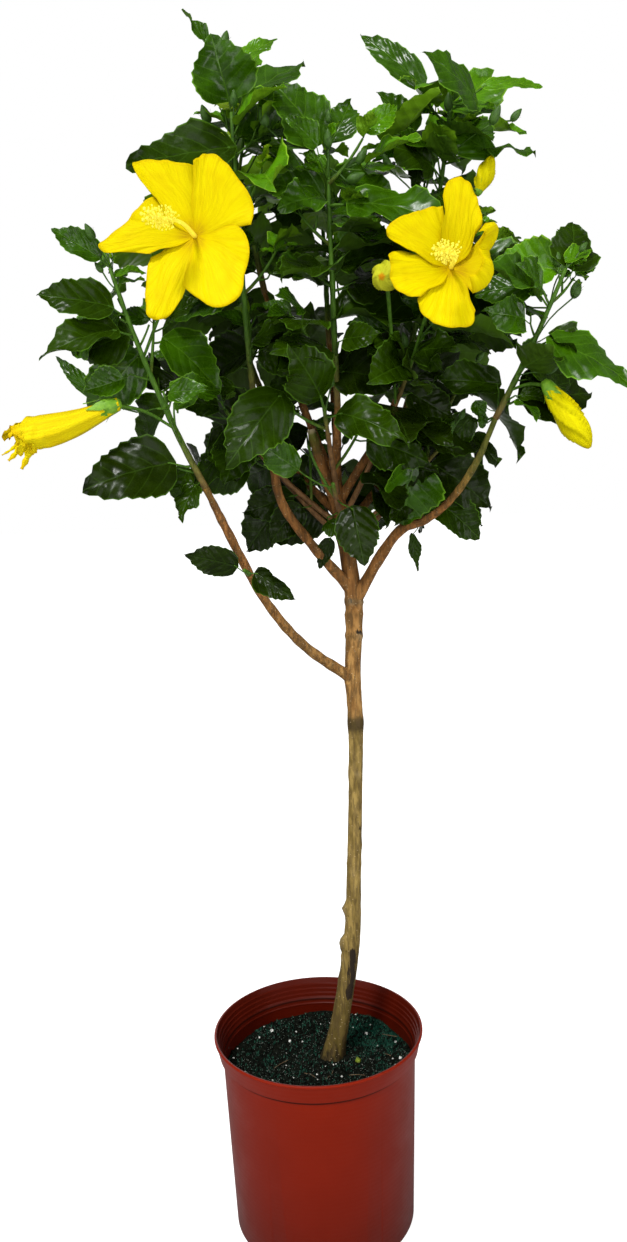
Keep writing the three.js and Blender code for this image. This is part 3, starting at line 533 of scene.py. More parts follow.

# upper side, underside and vein colours of each tint, and its shine. leafYoung is the young leaves'
# own paler green; leafBright, leafMid, leafDeep and leafShade are partly the leaves' own uneven green
# and partly painted light and shade: lit copies for the top and outside of the crown, shaded copies
# for low down and inside
leafTints = {
    "leafYoung": (colour(0.24, 0.4, 0.002), colour(0.27, 0.43, 0.008), colour(0.42, 0.58, 0.03), 0.24),
    "leafBright": (colour(0.088, 0.255, 0.001), colour(0.14, 0.3, 0.005), colour(0.22, 0.42, 0.02), 0.24),
    "leafMid": (colour(0.034, 0.104, 0.0), colour(0.07, 0.16, 0.005), colour(0.11, 0.25, 0.014), 0.24),
    "leafDeep": (colour(0.019, 0.047, 0.0), colour(0.04, 0.088, 0.004), colour(0.06, 0.14, 0.009), 0.1),
    "leafShade": (colour(0.011, 0.024, 0.0), colour(0.025, 0.05, 0.003), colour(0.035, 0.08, 0.006), 0.1),
}


def leafMaterial(name, upper, under, vein, shine):
    material, tree, shader = newMaterial(name, {"Specular IOR Level": shine})
    veins = addNode(tree, "ShaderNodeGroup", node_tree=veinGroup).outputs
    mottle, relief = placeGrain(tree, 40.0, 420.0)
    above = layered(tree, blendColour(tree, mottle, toned(upper, 0.55), upper),
                    (times(tree, veins["Veins"], 0.4), vein),
                    (times(tree, veins["Rim"], 0.85), toned(vein, 1.25)))
    below = blendColour(tree, times(tree, veins["Veins"], 0.6), under, vein)
    back = addNode(tree, "ShaderNodeNewGeometry").outputs["Backfacing"]
    rough = plus(tree, roughFrom(tree, relief, 0.2, 0.36), times(tree, back, 0.25))
    height = plus(tree, veins["Quilt"], times(tree, relief, 0.2))
    connect(tree, shader, Base_Color=blendColour(tree, back, above, below), Roughness=rough,
            Normal=bump(tree, height, 0.5, 2.0))
    return material


def stemMaterial():
    # green where young, orange brown where older, by the attribute "age"
    material, tree, shader = newMaterial("twigSkin", {"Specular IOR Level": 0.14})
    mottle, relief = placeGrain(tree, 220.0, 1500.0, (1.0, 1.0, 0.3))
    green = blendColour(tree, mottle, colour(0.032, 0.086, 0.006), colour(0.075, 0.17, 0.014))
    brown = blendColour(tree, mottle, colour(0.12, 0.06, 0.022), colour(0.25, 0.13, 0.05))
    skin = blendColour(tree, ramp(tree, valueOf(tree, "age"), 0.25, 0.75), green, brown)
    connect(tree, shader, Base_Color=skin, Roughness=roughFrom(tree, relief, 0.4, 0.6),
            Normal=bump(tree, relief, 0.5, 0.5))
    return material


def barkMaterial():
    # olive below the dark ring, tan above it and redder at the head, darker toward the foot and near black
    # just above the soil, with lenticels, fissures, scars, dark collars, pale cuts and green young ends
    material, tree, shader = newMaterial("bark", {"Specular IOR Level": 0.12})
    place = objectPlace(tree)
    height = partOf(tree, place, "Z")
    mottle, relief = placeGrain(tree, 150.0, 1100.0, (1.0, 1.0, 0.35))
    fissures = noiseValue(tree, stretched(tree, place, (260.0, 260.0, 38.0)), 1.0, 5.0, 0.65)
    cracks = ramp(tree, fissures, 0.42, 0.52, 1.0, 0.0)
    olive = blendColour(tree, mottle, colour(0.15, 0.1, 0.024), colour(0.34, 0.235, 0.07))
    tan = blendColour(tree, mottle, colour(0.17, 0.08, 0.02), colour(0.4, 0.22, 0.068))
    reddish = blendColour(tree, mottle, colour(0.14, 0.055, 0.014), colour(0.33, 0.135, 0.036))
    green = blendColour(tree, mottle, colour(0.055, 0.085, 0.01), colour(0.12, 0.165, 0.025))
    wavering = plus(tree, height, times(tree, minus(tree, mottle, 0.5), 0.02))
    spotPlace = stretched(tree, place, (190.0, 190.0, 260.0))
    spots = addNode(tree, "ShaderNodeTexVoronoi", {"Vector": spotPlace, "Scale": 1.0}).outputs["Distance"]
    lenticels = times(tree, ramp(tree, spots, 0.1, 0.2, 1.0, 0.0), 0.55)
    scar = valueOf(tree, "scar")
    torn = ramp(tree, plus(tree, scar, times(tree, minus(tree, fissures, 0.5), 2.4)), 0.42, 0.62)
    base = layered(
        tree, olive,
        (ramp(tree, wavering, 0.612, 0.634), tan),
        (ramp(tree, wavering, 0.2, 0.46, 0.78, 0.0), colour(0.06, 0.043, 0.009)),
        (ramp(tree, height, 0.7, 0.82, 0.0, 0.8), reddish),
        (ramp(tree, wavering, 0.2, 0.216, 0.85, 0.0), colour(0.012, 0.01, 0.005)),
        (times(tree, valueOf(tree, "dim"), 0.95), colour(0.058, 0.04, 0.012)),
        (times(tree, cracks, 0.5), colour(0.07, 0.045, 0.02)),
        (lenticels, colour(0.5, 0.37, 0.2)),
        (times(tree, torn, ramp(tree, scar, 0.05, 0.2)), colour(0.022, 0.015, 0.009)),
        (times(tree, ramp(tree, valueOf(tree, "young"), 0.2, 0.8), 0.85), green),
        (valueOf(tree, "pale"), colour(0.5, 0.4, 0.24)))
    bumps = minus(tree, plus(tree, relief, times(tree, lenticels, 0.5)), times(tree, cracks, 0.5))
    connect(tree, shader, Base_Color=base, Roughness=roughFrom(tree, relief, 0.6, 0.85),
            Normal=bump(tree, bumps, 0.8, 1.2))
    return material


def petalMaterial(name, light, deep, throat, end=None):
    # on the petal's own map: X from claw to margin, Y across
    material, tree, shader = newMaterial(name, {"Specular IOR Level": 0.03})
    uv = addNode(tree, "ShaderNodeUVMap", uv_map="petal").outputs[0]
    along = partOf(tree, uv, "X")
    side = mathNode(tree, "ABSOLUTE", minus(tree, partOf(tree, uv, "Y"), 0.5))
    creases = noiseValue(tree, stretched(tree, uv, (2.2, 34.0, 1.0)), 1.0, 4.0, 0.6)
    flush = noiseValue(tree, stretched(tree, uv, (3.0, 3.0, 1.0)), 1.0, 2.0, 0.5)
    edges = mathNode(tree, "MAXIMUM", ramp(tree, along, 0.93, 1.0), ramp(tree, side, 0.42, 0.5))
    specks = times(tree, ramp(tree, creases, 0.5, 0.55), ramp(tree, along, 0.1, 0.22, 1.0, 0.0))
    # deeper gold in the creases, at the margin and side edges, and toward the throat is painted shade; the
    # flush is the petal's own uneven colour and the specks are its own marks
    base = layered(
        tree, light,
        (ramp(tree, creases, 0.4, 0.7, 0.0, 0.45), deep),
        (ramp(tree, flush, 0.4, 0.75, 0.0, 0.4), deep),
        (times(tree, edges, 0.6), deep),
        (ramp(tree, along, 0.08, 0.34, 0.7, 0.0), deep),
        (times(tree, specks, throat), colour(0.3, 0.1, 0.01)))
    if end:
        base = blendColour(tree, ramp(tree, along, 0.955, 0.99), base, end)
    _, relief = placeGrain(tree, 150.0, 1600.0)
    height = plus(tree, creases, times(tree, relief, 0.2))
    connect(tree, shader, Base_Color=base, Roughness=roughFrom(tree, relief, 0.45, 0.62),
            Normal=bump(tree, height, 0.5, 1.8))
    return material


def grainyMaterial(name, light, dark, rough, grain, depth, glow=colour(0, 0, 0)):
    material, tree, shader = newMaterial(name, {
        "Specular IOR Level": 0.3, "Emission Color": glow, "Emission Strength": 1.0})
    mottle, relief = placeGrain(tree, grain, grain * 8)
    connect(tree, shader, Base_Color=blendColour(tree, mottle, dark, light),
            Roughness=roughFrom(tree, relief, rough - 0.08, rough + 0.08),
            Normal=bump(tree, relief, 0.6, depth))
    return material


def potMaterial():
    # moulded plastic: faint turning marks and scuffs, painted shade inside, a painted shadow line in the seam
    # under the band, and painted light that makes the wall lighter toward the foot
    material, tree, shader = newMaterial("terracottaPlastic", {"Specular IOR Level": 0.09})
    place = objectPlace(tree)
    mottle, relief = placeGrain(tree, 18.0, 1400.0)
    height = partOf(tree, place, "Z")
    scuffs = noiseValue(tree, stretched(tree, place, (40.0, 40.0, 240.0)), 1.0, 6.0, 0.7)
    marks = ramp(tree, scuffs, 0.66, 0.76)
    bandShadow = mathNode(tree, "ABSOLUTE", minus(tree, height, 0.2172))
    base = layered(
        tree, colour(0.3, 0.013, 0.001),
        # painted light: lighter toward the foot, darker toward the band
        (ramp(tree, height, 0.0, 0.22), colour(0.2, 0.01, 0.001)),
        (times(tree, mottle, 0.12), colour(0.12, 0.006, 0.001)),
        (times(tree, marks, 0.12), colour(0.3, 0.07, 0.03)),
        # painted shade on the inside of the pot
        (times(tree, valueOf(tree, "inside"), 0.72), colour(0.014, 0.002, 0.0005)),
        # painted shadow line in the seam under the band
        (ramp(tree, bandShadow, 0.0008, 0.002, 0.85, 0.0), colour(0.02, 0.002, 0.0005)))
    turning = addNode(tree, "ShaderNodeTexWave", {"Vector": place, "Scale": 55.0, "Distortion": 0.6},
                      bands_direction="Z").outputs["Fac"]
    surface = plus(tree, times(tree, relief, 0.5), times(tree, turning, 0.25))
    rough = plus(tree, ramp(tree, mottle, 0.0, 1.0, 0.38, 0.46), times(tree, marks, 0.2))
    connect(tree, shader, Base_Color=base, Roughness=rough, Normal=bump(tree, surface, 0.35, 0.35))
    return material


def soilMaterial():
    # dark earth, teal green where moss grows by the attribute "moss"
    material, tree, shader = newMaterial("pottingSoil", {"Specular IOR Level": 0.04})
    mottle, relief = placeGrain(tree, 240.0, 1100.0)
    ragged = times(tree, noiseValue(tree, objectPlace(tree), 90.0, 5.0, 0.7), 0.9)
    moss = ramp(tree, plus(tree, valueOf(tree, "moss"), ragged), 0.6, 1.15)
    earth = blendColour(tree, mottle, colour(0.0008, 0.0016, 0.0011), colour(0.01, 0.012, 0.008))
    green = blendColour(tree, mottle, colour(0.001, 0.01, 0.007), colour(0.005, 0.05, 0.031))
    connect(tree, shader, Base_Color=blendColour(tree, moss, earth, green),
            Roughness=roughFrom(tree, relief, 0.75, 0.95), Normal=bump(tree, relief, 1.0, 2.5))
    return material


leafMaterials = [leafMaterial(name, *tint) for name, tint in leafTints.items()]
twigSkin = stemMaterial()
bark = barkMaterial()
terracotta = potMaterial()
soilDark = soilMaterial()
# name: light, deep, which also paints the shade in the creases, at the edges and toward the throat, how
# strong the throat's specks are, the petals' ends
petalYellow, petalFaded, petalFurled, budLemon = [petalMaterial(name, *look) for name, look in {
    "petalYellow": (colour(0.7, 0.585, 0.0), colour(0.57, 0.39, 0.0), 0.5),
    "petalFaded": (colour(0.74, 0.62, 0.004), colour(0.58, 0.34, 0.002), 0.0),
    "petalFurled": (colour(0.6, 0.54, 0.001), colour(0.5, 0.38, 0.0), 0.0),
    "budLemon": (colour(0.6, 0.6, 0.03), colour(0.42, 0.46, 0.012), 0.0, colour(0.62, 0.26, 0.005)),
}.items()]
# name: light, dark, roughness, how fine the grain is, how deep it is in mm, glow
grainy = {name: grainyMaterial(name, *look) for name, look in {
    # the pollen's glow is painted light, lifting it as if light shone through it
    "pollenYellow": (colour(0.95, 0.86, 0.1), colour(0.9, 0.78, 0.05), 0.6, 300.0, 0.1,
                     colour(0.16, 0.13, 0.01)),
    "calyxGreen": (colour(0.2, 0.4, 0.025), colour(0.1, 0.26, 0.01), 0.45, 160.0, 0.4),
    "budGreen": (colour(0.06, 0.14, 0.016), colour(0.03, 0.08, 0.008), 0.5, 200.0, 0.4),
    "perliteWhite": (colour(0.85, 0.85, 0.8), colour(0.55, 0.55, 0.5), 0.85, 700.0, 0.4),
    "gritGrey": (colour(0.26, 0.3, 0.25), colour(0.03, 0.06, 0.045), 0.8, 90.0, 0.3),
    "strawTan": (colour(0.22, 0.14, 0.07), colour(0.1, 0.06, 0.03), 0.7, 500.0, 0.2),
    "mossTeal": (colour(0.006, 0.075, 0.042), colour(0.002, 0.022, 0.013), 0.8, 400.0, 0.3),
    "pebbleLime": (colour(0.2, 0.26, 0.02), colour(0.1, 0.14, 0.01), 0.7, 500.0, 0.3),
}.items()}
print("materials ready")


def newBatch(*maps):
    return {"points": [], "faces": [], "slots": [], "maps": {name: [] for name in maps},
            "values": {}, "count": 0}


def addShape(batch, points, faces, slot=0, uvs=None, values=None):
    start = batch["count"]
    batch["points"].extend(tuple(p) for p in points)
    batch["faces"].extend(tuple(start + i for i in face) for face in faces)
    batch["slots"].extend([slot] * len(faces))
    batch["count"] += len(points)
    for name, store in batch["maps"].items():
        store.extend(uvs[name] if uvs and name in uvs else [(0.0, 0.0)] * len(points))
    for name, given in (values or {}).items():
        store = batch["values"].setdefault(name, [])
        store.extend([0.0] * (start - len(store)))
        store.extend(given)


def newObject(name, data):
    made = bpy.data.objects.new(name, data)
    bpy.context.scene.collection.objects.link(made)
    return made


def writeValues(mesh, label, values):
    mesh.attributes.new(label, "FLOAT", "POINT").data.foreach_set("value", values)


def makePiece(name, batch, materials, nodes=()):
    mesh = bpy.data.meshes.new(name)
    points = (np.array(batch["points"]) * mm).tolist()
    mesh.from_pydata(points, [], batch["faces"])
    mesh.update()
    for material in materials:
        mesh.materials.append(material)
    mesh.polygons.foreach_set("material_index", batch["slots"])
    mesh.polygons.foreach_set("use_smooth", [True] * len(mesh.polygons))
    corners = np.empty(len(mesh.loops), dtype=np.int32)
    mesh.loops.foreach_get("vertex_index", corners)
    for label, store in batch["maps"].items():
        layer = mesh.uv_layers.new(name=label)
        layer.uv.foreach_set("vector", np.array(store, dtype=np.float32)[corners].ravel())
    for label, store in batch["values"].items():
        store.extend([0.0] * (batch["count"] - len(store)))
        writeValues(mesh, label, store)
    piece = newObject(name, mesh)
    finishPiece(piece, nodes)
    return piece


def finishPiece(piece, nodes=()):
    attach(piece, "root")
    if nodes:
        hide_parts(*nodes)


taken = []
grown = [{"leaves": [], "twigs": []} for mass in masses]
openFlowers = [
    {"on": "left", "at": 0.62, "centre": (-85, -200, 1133), "heading": 264, "climb": 6,
     "petals": [(50, 76), (127, 80), (184, 80), (246, 84), (308, 72)]},
    {"on": "right_mid", "at": 0.9, "centre": (157, -190, 1098), "heading": 275, "climb": 4,
     "petals": [(83, 82), (152, 70), (211, 60), (273, 62), (337, 44)]},
]
closedFlowers = [
    {"kind": "wilted", "on": "left", "at": 0.3, "base": (-172, -140, 986), "tip": (-271, -160, 956),
     "radius": 15},
    {"kind": "furled", "on": "right", "at": 0.2, "base": (253, -140, 990), "tip": (294, -150, 924),
     "radius": 13, "widest": 0.62},
    {"kind": "round", "on": "right_mid", "at": 0.7, "base": (97, -160, 1080), "tip": (92, -172, 1106),
     "radius": 13, "looks": (245, -12)},
    {"kind": "furled", "on": "top_right", "at": 0.7, "base": (206, -50, 1196), "tip": (222, -50, 1232),
     "radius": 9, "widest": 0.5, "shift": (-4, -20, -3)},
]
blossomPlan = {"throat": 16, "calyx": 20, "calyxRadius": 9, "clearView": 62, "stalk": (1.6, 2.2),
               "stalkHold": 3, "stalkBow": 0.08, "stalkEnds": (1.5, 2.1), "column": 58,
               "columnSwing": -26, "columnRise": -5,
               "flare": 0.45, "twist": 12, "spindle": (0.1, 0.9),
               # the room that a petal keeps: its outline from claw to margin, its droop and middle
               "outline": [(0, 0), (0.3, 0.14), (0.68, 0.38), (0.93, 0.26), (1, 0), (0.94, -0.24),
                           (0.7, -0.38), (0.3, -0.14)], "droop": 0.16, "middle": 0.6}


def take(points, faces, owner):
    array = np.array([tuple(p) for p in points])
    taken.append((BVHTree.FromPolygons(points, faces), owner, array.min(0), array.max(0)))


def hits(points, faces, counts):
    array = np.array([tuple(p) for p in points])
    low, high = array.min(0), array.max(0)
    tree = None
    for other, owner, otherLow, otherHigh in taken:
        if not counts(owner) or (low > otherHigh).any() or (otherLow > high).any():
            continue
        tree = tree or BVHTree.FromPolygons(points, faces)
        if tree.overlap(other):
            return True
    return False


def leafShell(leaf, start=0.0, extra=0.0):
    # the simple closed leaf that keeps the room for a detailed one
    plan = leafPlan
    root, neck, along, face, blade = (leaf[k] for k in ("root", "neck", "along", "face", "blade"))
    side = face.cross(along)
    stalk = (neck - root).normalized()
    stalkFace = squareTo(face, stalk)
    stalkSide = stalkFace.cross(stalk)

    def ring(at, across, over, radius):
        return [at - across * radius * math.cos(angle) + over * radius * math.sin(angle)
                for angle in map(math.radians, (90, 210, 330))]

    def spot(u, v, w):
        return neck + along * (u * blade) + side * (v * blade) + face * (w * blade)

    wide = extra / blade
    low, high = plan["low"][1] + wide, plan["high"][1] + wide
    middle = plan["thick"] / 2 + wide
    fold = plan["fold"]
    points = ring(root.lerp(neck, start), stalkSide, stalkFace, plan["stalkRoot"] + extra)
    points += ring(neck, side, face, plan["stalkNeck"] + extra)
    points += [spot(plan["low"][0], low, fold), spot(plan["high"][0], high, fold / 2),
               spot(1 + wide, 0, -plan["droop"]), spot(plan["high"][0], -high, fold / 2),
               spot(plan["low"][0], -low, fold), spot(plan["middle"], 0, middle),
               spot(plan["middle"], 0, -middle)]
    faces = [(0, 1, 2)]
    for i, j in ((0, 1), (1, 2), (2, 0)):
        faces += [(i, 3 + j, j), (i, 3 + i, 3 + j)]
    outline = [4, 6, 7, 8, 9, 10, 5]
    for a, b in zip(outline, outline[1:]):
        faces += [(b, a, 11), (a, b, 12)]
    faces += [(4, 3, 11), (3, 5, 11), (5, 4, 12)]
    return points, faces


def faceAt(place, along, roll):
    outward = (place - crown["heart"]).normalized()
    frontward = clamp((place.y - crown["divide"]) / crown["blend"], -1, 1)
    wish = upward * crown["skyward"] + outward * crown["outward"]
    wish.y += crown["frontward"] * frontward
    return turned(squareTo(wish, along), along, roll)


def leafTip(leaf):
    return leaf["neck"] + leaf["along"] * leaf["blade"] - leaf["face"] * (leafPlan["droop"] * leaf["blade"])


def crownShare(x, y, z):
    # 0 at the crown's heart and 1 at its edge
    return (x / crown["wide"]) ** 2 + (y / crown["deep"]) ** 2 + (z / crown["high"]) ** 2


def insideCrown(point):
    away = point - crown["heart"]
    x = away.x - crown["leanRight"] * max(0, away.z)
    inside = crownShare(x, away.y, away.z) < 1
    return inside and point.z > crown["skirt"] + crown["skirtRise"] * math.hypot(x, away.y)


def hidesFlower(point):
    for flower in openFlowers:
        face = toward(flower["heading"], flower["climb"])
        away = point - Vector(flower["centre"])
        ahead = away.dot(face)
        if ahead > 0 and (away - face * ahead).length < blossomPlan["clearView"]:
            return True
    return False


def hidesStem(point):
    # looks at the stretch of each shown stem that is level with the point
    for mass, path in zip(masses, stemPaths):
        if mass["name"] not in openFront["stems"]:
            continue
        for low, high in zip(path, path[1:]):
            if low.z <= point.z < high.z:
                at = low.lerp(high, (point.z - low.z) / (high.z - low.z))
                if abs(point.x - at.x) < openFront["beside"] and point.y < at.y - openFront["before"]:
                    return True
    return False


def beforeHead(point):
    return all(low <= at <= high for low, at, high in zip(openFront["low"], point, openFront["high"]))


def hidesWood(leaf):
    for share in openFront["along"]:
        point = leaf["neck"].lerp(leafTip(leaf), share)
        if hidesStem(point) or beforeHead(point):
            return True
    return False


def growLeaf(leaf, mass):
    tip = leafTip(leaf)
    if hidesFlower(tip) or hidesFlower(leaf["neck"].lerp(tip, 0.5)):
        return False
    outer = leafShell(leaf, 0.5, twigPlan["berth"])
    if hits(*leafShell(leaf, 0, twigPlan["berth"]), lambda owner: owner != mass):
        return False
    if hits(*outer, lambda owner: owner == mass):
        return False
    grown[mass]["leaves"].append(leaf)
    take(*outer, mass)
    return True


def growTwig(path, thick, mass, age):
    berth = twigPlan["berth"]
    shell = tubeShape(path, tapered(thick + berth, twigPlan["tip"] + berth), 3, 2)[:2]
    if hits(*shell, lambda owner: owner != mass):
        return False
    grown[mass]["twigs"].append({"path": path, "thick": thick, "age": age})
    take(*shell, mass)
    return True


def ruledLeaf(root, axis, share, last, mass, seed, tries):
    turn = seed * goldenAngle + twigPlan["turnVaries"] * draw(mass, seed, 1) + twigPlan["tryTurn"] * tries
    spread = math.radians(twigPlan["endSpread"] if last else drawBetween(twigPlan["spread"], mass, seed, 2))
    spoke = spokeAt(axis, turn)
    stalk = axis * math.cos(spread) + spoke * math.sin(spread)
    neck = root + stalk * drawBetween(leafPlan["stalks"], mass, seed, 6)
    outward = root - crown["heart"]
    outward.z = 0
    level = Vector((stalk.x, stalk.y, 0)) + outward.normalized() * crown["lean"]
    rank = clamp((root.z - crown["skirt"]) / crown["rankHeight"])
    along = toward(
        bearing(level)[0] + drawBetween(crown["headingVaries"], mass, seed, 3),
        mix(crown["lowClimb"], crown["highClimb"], rank) + drawBetween(crown["climbVaries"], mass, seed, 4))
    face = faceAt(neck, along, drawBetween(crown["rollVaries"], mass, seed + tries, 7))
    shrink = (1 - leafPlan["shrinkAtTip"] * share ** 6) * leafPlan["shrinkPerTry"] ** tries
    return {"root": root, "neck": neck, "along": along, "face": face, "seed": seed,
            "blade": drawBetween(leafPlan["sizes"], mass, seed, 5) * shrink}


def leavesAlong(path, length, mass, key, bare):
    count = math.floor((length - bare) / twigPlan["spacing"])
    for i in range(count + 1):
        share = min(1, (bare + i * twigPlan["spacing"]) / length)
        root, axis = pathPoint(path, share * twigPlan["end"]), pathTangent(path, share)
        for tries in range(twigPlan["tries"]):
            leaf = ruledLeaf(root, axis, share, i == count, mass, key * seedPlan["leavesPerTwig"] + i, tries)
            leaf["spray"] = key
            fits = insideCrown(leafTip(leaf)) and insideCrown(leaf["neck"]) and not hidesWood(leaf)
            if fits and growLeaf(leaf, mass):
                break


def growReach(reach, mass, number):
    share, heading, climb, distance = reach
    key = seedPlan["reaches"] + number
    root = pathPoint(stemPaths[mass], share)
    tip = root + toward(heading, climb) * distance
    length = distance - reachPlan["longest"]
    foot = root
    if length > reachPlan["shortestTwig"]:
        bow = reachPlan["twigBow"]
        path = twigPath(root, heading, climb + bow, length, lift=-2 * bow)
        growTwig(path, twigPlan["shoot"], mass, twigAges["spur"])
        foot = pathPoint(path, twigPlan["end"])
        leavesAlong(path, length, mass, key, twigPlan["bareShoot"])
    stalkLength = clamp((tip - foot).length * reachPlan["stalkShare"], *reachPlan["stalks"])
    stalk = ((tip - foot).normalized() + upward * reachPlan["rise"]).normalized()
    neck = foot + stalk * stalkLength
    along = (tip - neck).normalized()
    leaf = {"root": foot, "neck": neck, "along": along, "face": faceAt(neck, along, 0), "seed": key,
            "blade": (tip - neck).length, "spray": key}
    if growLeaf(leaf, mass):
        dressLeaf(leaf, leafLooks.get((masses[mass]["name"], number), {}))


def dressLeaf(leaf, look):
    leaf["look"] = look
    leaf["neck"] = leaf["neck"] + Vector(look.get("shift", (0, 0, 0)))
    leaf["face"] = squareTo(leaf["face"] - Vector((0, look.get("front", 0), 0)), leaf["along"])


def placeLeaf(number, on, share, neck, tip, look):
    mass = massNumber(on)
    neck, tip = Vector(neck), Vector(tip)
    along = (tip - neck).normalized()
    key = seedPlan["placed"] + number
    leaf = {"root": pathPoint(stemPaths[mass], share), "neck": neck, "along": along,
            "face": faceAt(neck, along, 0), "seed": key, "blade": (tip - neck).length, "spray": key}
    dressLeaf(leaf, look)
    grown[mass]["leaves"].append(leaf)


def seenFlat(point):
    # where a point shows from in front, on the plane through the pot's axis
    share = eye.y / (eye.y - point.y)
    return Vector((eye.x + (point.x - eye.x) * share, eye.z + (point.z - eye.z) * share))


def closesOpening(leaf):
    if leaf.get("look"):
        return False
    neck, tip = seenFlat(leaf["neck"]), seenFlat(leafTip(leaf))
    way = tip - neck
    for right, height, wide in openings:
        away = Vector((right, height)) - neck
        near = way * clamp(away.dot(way) / max(way.dot(way), 1))
        if (away - near).length < wide * openingReach["wide"] + leaf["blade"] * openingReach["blade"]:
            return True
    return False


def growSideShoots(mass):
    path = stemPaths[mass]
    plan = shootPlan
    count = math.floor(masses[mass]["length"] / plan["every"])
    for i in range(count):
        share = (i + plan["first"]) / (count + plan["last"])
        axis = pathTangent(path, share)
        spoke = spokeAt(axis, i * goldenAngle + 360 * draw(mass, i, 8))
        heading, climb = bearing(axis * plan["lean"][0] + spoke * plan["lean"][1])
        length = drawBetween(plan["lengths"], mass, i, 9) * (1 - plan["shorten"] * share)
        shoot = twigPath(pathPoint(path, share), heading, climb, length, lift=plan["lift"])
        end = shoot[-1]
        if not insideCrown(end) or hidesFlower(end):
            continue
        if growTwig(shoot, twigPlan["shoot"], mass, twigAges["shoot"]):
            leavesAlong(shoot, length, mass, i + 1, twigPlan["bareShoot"])


def flowerFrame(flower):
    # the flower's axis, its middle, the base behind it, and its right
    face = toward(flower["heading"], flower["climb"])
    centre = Vector(flower["centre"])
    return face, centre, centre - face * blossomPlan["throat"], upward.cross(face).normalized()


def columnWay(flower):
    return toward(flower["heading"] + blossomPlan["columnSwing"], flower["climb"] + blossomPlan["columnRise"])


def flowerRooms(flower):
    # the room that an open flower keeps free of leaves and twigs
    face, centre, base, right = flowerFrame(flower)
    plan = blossomPlan
    for angle, length in flower["petals"]:
        spoke = turned(right, face, angle)
        along = (spoke + face * plan["flare"]).normalized()
        normal = turned(squareTo(face, along), along, plan["twist"])
        side = normal.cross(along)
        size = length / along.dot(spoke)
        rim = [base + along * (u * size) + side * (v * size) - normal * (plan["droop"] * u * u * size)
               for u, v in plan["outline"]]
        yield rim + [base + along * (plan["middle"] * size)], [(i, (i + 1) % 8, 8) for i in range(8)]
    end = centre + columnWay(flower) * plan["column"]
    yield tubeShape([base, end], lambda share: 5 if share > 0.7 else 2, 5, 5)[:2]
    yield tubeShape([base - face * plan["calyx"], centre], lambda share: plan["calyxRadius"], 6, 2)[:2]


def stalkPath(flower, mass, foot):
    root = pathPoint(stemPaths[mass], flower["at"])
    bow = root.lerp(foot, 0.5) + upward * ((root - foot).length * blossomPlan["stalkBow"])
    return [root, bow, foot]


def spindleOf(radius):
    return lambda share: radius * math.sin(math.pi * mix(*blossomPlan["spindle"], share))


def growFlower(flower):
    mass = massNumber(flower["on"])
    if "centre" in flower:
        face, centre, base, right = flowerFrame(flower)
        foot = base + face * (blossomPlan["stalkHold"] - blossomPlan["calyx"])
        rooms = list(flowerRooms(flower))
    else:
        start, end = Vector(flower["base"]), Vector(flower["tip"])
        foot = start + (end - start).normalized() * blossomPlan["stalkHold"]
        rooms = [tubeShape([start, end], spindleOf(flower["radius"]), 6, 4)[:2]]
    flower["stalk"] = stalkPath(flower, mass, foot)
    for room in rooms:
        take(*room, mass)
    take(*tubeShape(flower["stalk"], tapered(*blossomPlan["stalk"]), 4, 3)[:2], mass)


# The plant, grown in order: trunk and boughs, stems, flowers, reaching leaves, side shoots and leaves along
# the stems.
clear, berth = ground["clear"], twigPlan["berth"]
take(*tubeShape(trunkPath, lambda share: trunkRadius(share) + clear, 10, 18)[:2], "limbs")
for name, (height, thick, tip, legs) in boughPlan.items():
    radiusAt = tapered(thick / 2 + clear, tip / 2 + clear)
    take(*tubeShape(boughPaths[name], radiusAt, 7, 2 * len(legs) + 3)[:2], "limbs")
for mass, path in enumerate(stemPaths):
    age = twigAges["stem" if masses[mass]["bough"] else "trunkStem"]
    grown[mass]["twigs"].append({"path": path, "thick": twigPlan["stem"], "age": age})
    take(*tubeShape(path, tapered(twigPlan["stem"] + berth, twigPlan["tip"] + berth), 3, 5)[:2], mass)
for flower in openFlowers + closedFlowers:
    growFlower(flower)
for mass, plan in enumerate(masses):
    for i, reach in enumerate(plan["reaches"]):
        growReach(reach, mass, i)
for mass, plan in enumerate(masses):
    growSideShoots(mass)
    leavesAlong(stemPaths[mass], plan["length"], mass, 0, twigPlan["bareStem"])
print("grown as the source grows:", sum(len(g["leaves"]) for g in grown), "leaves")


# Finer growth within the same reach: spurs along the twigs, and young leaves round their tips.
spurPlan = {"every": 34, "lengths": (14, 30), "thick": 1.2, "leaves": 2, "sizes": (38, 74),
            "stalks": (6, 14), "tries": 9, "key": 200, "keysPerTwig": 20, "first": 0.6,
            "lean": (0.5, 0.85), "lift": 15, "steps": 3, "spread": 35, "spreadStep": 20}
sprayPlan = {"leaves": 4, "sizes": (16, 44), "stalks": (4, 9), "tries": 4, "key": 400,
             "keysPerTwig": 10, "every": 0.03, "spread": 18, "spreadStep": 12}
smallPlan = {"tryTurn": 67, "tryKey": 7, "headingVaries": 30, "climbs": (-30, 20), "follow": 0.4,
             "rollVaries": 60, "shrinkPerTry": 0.95}


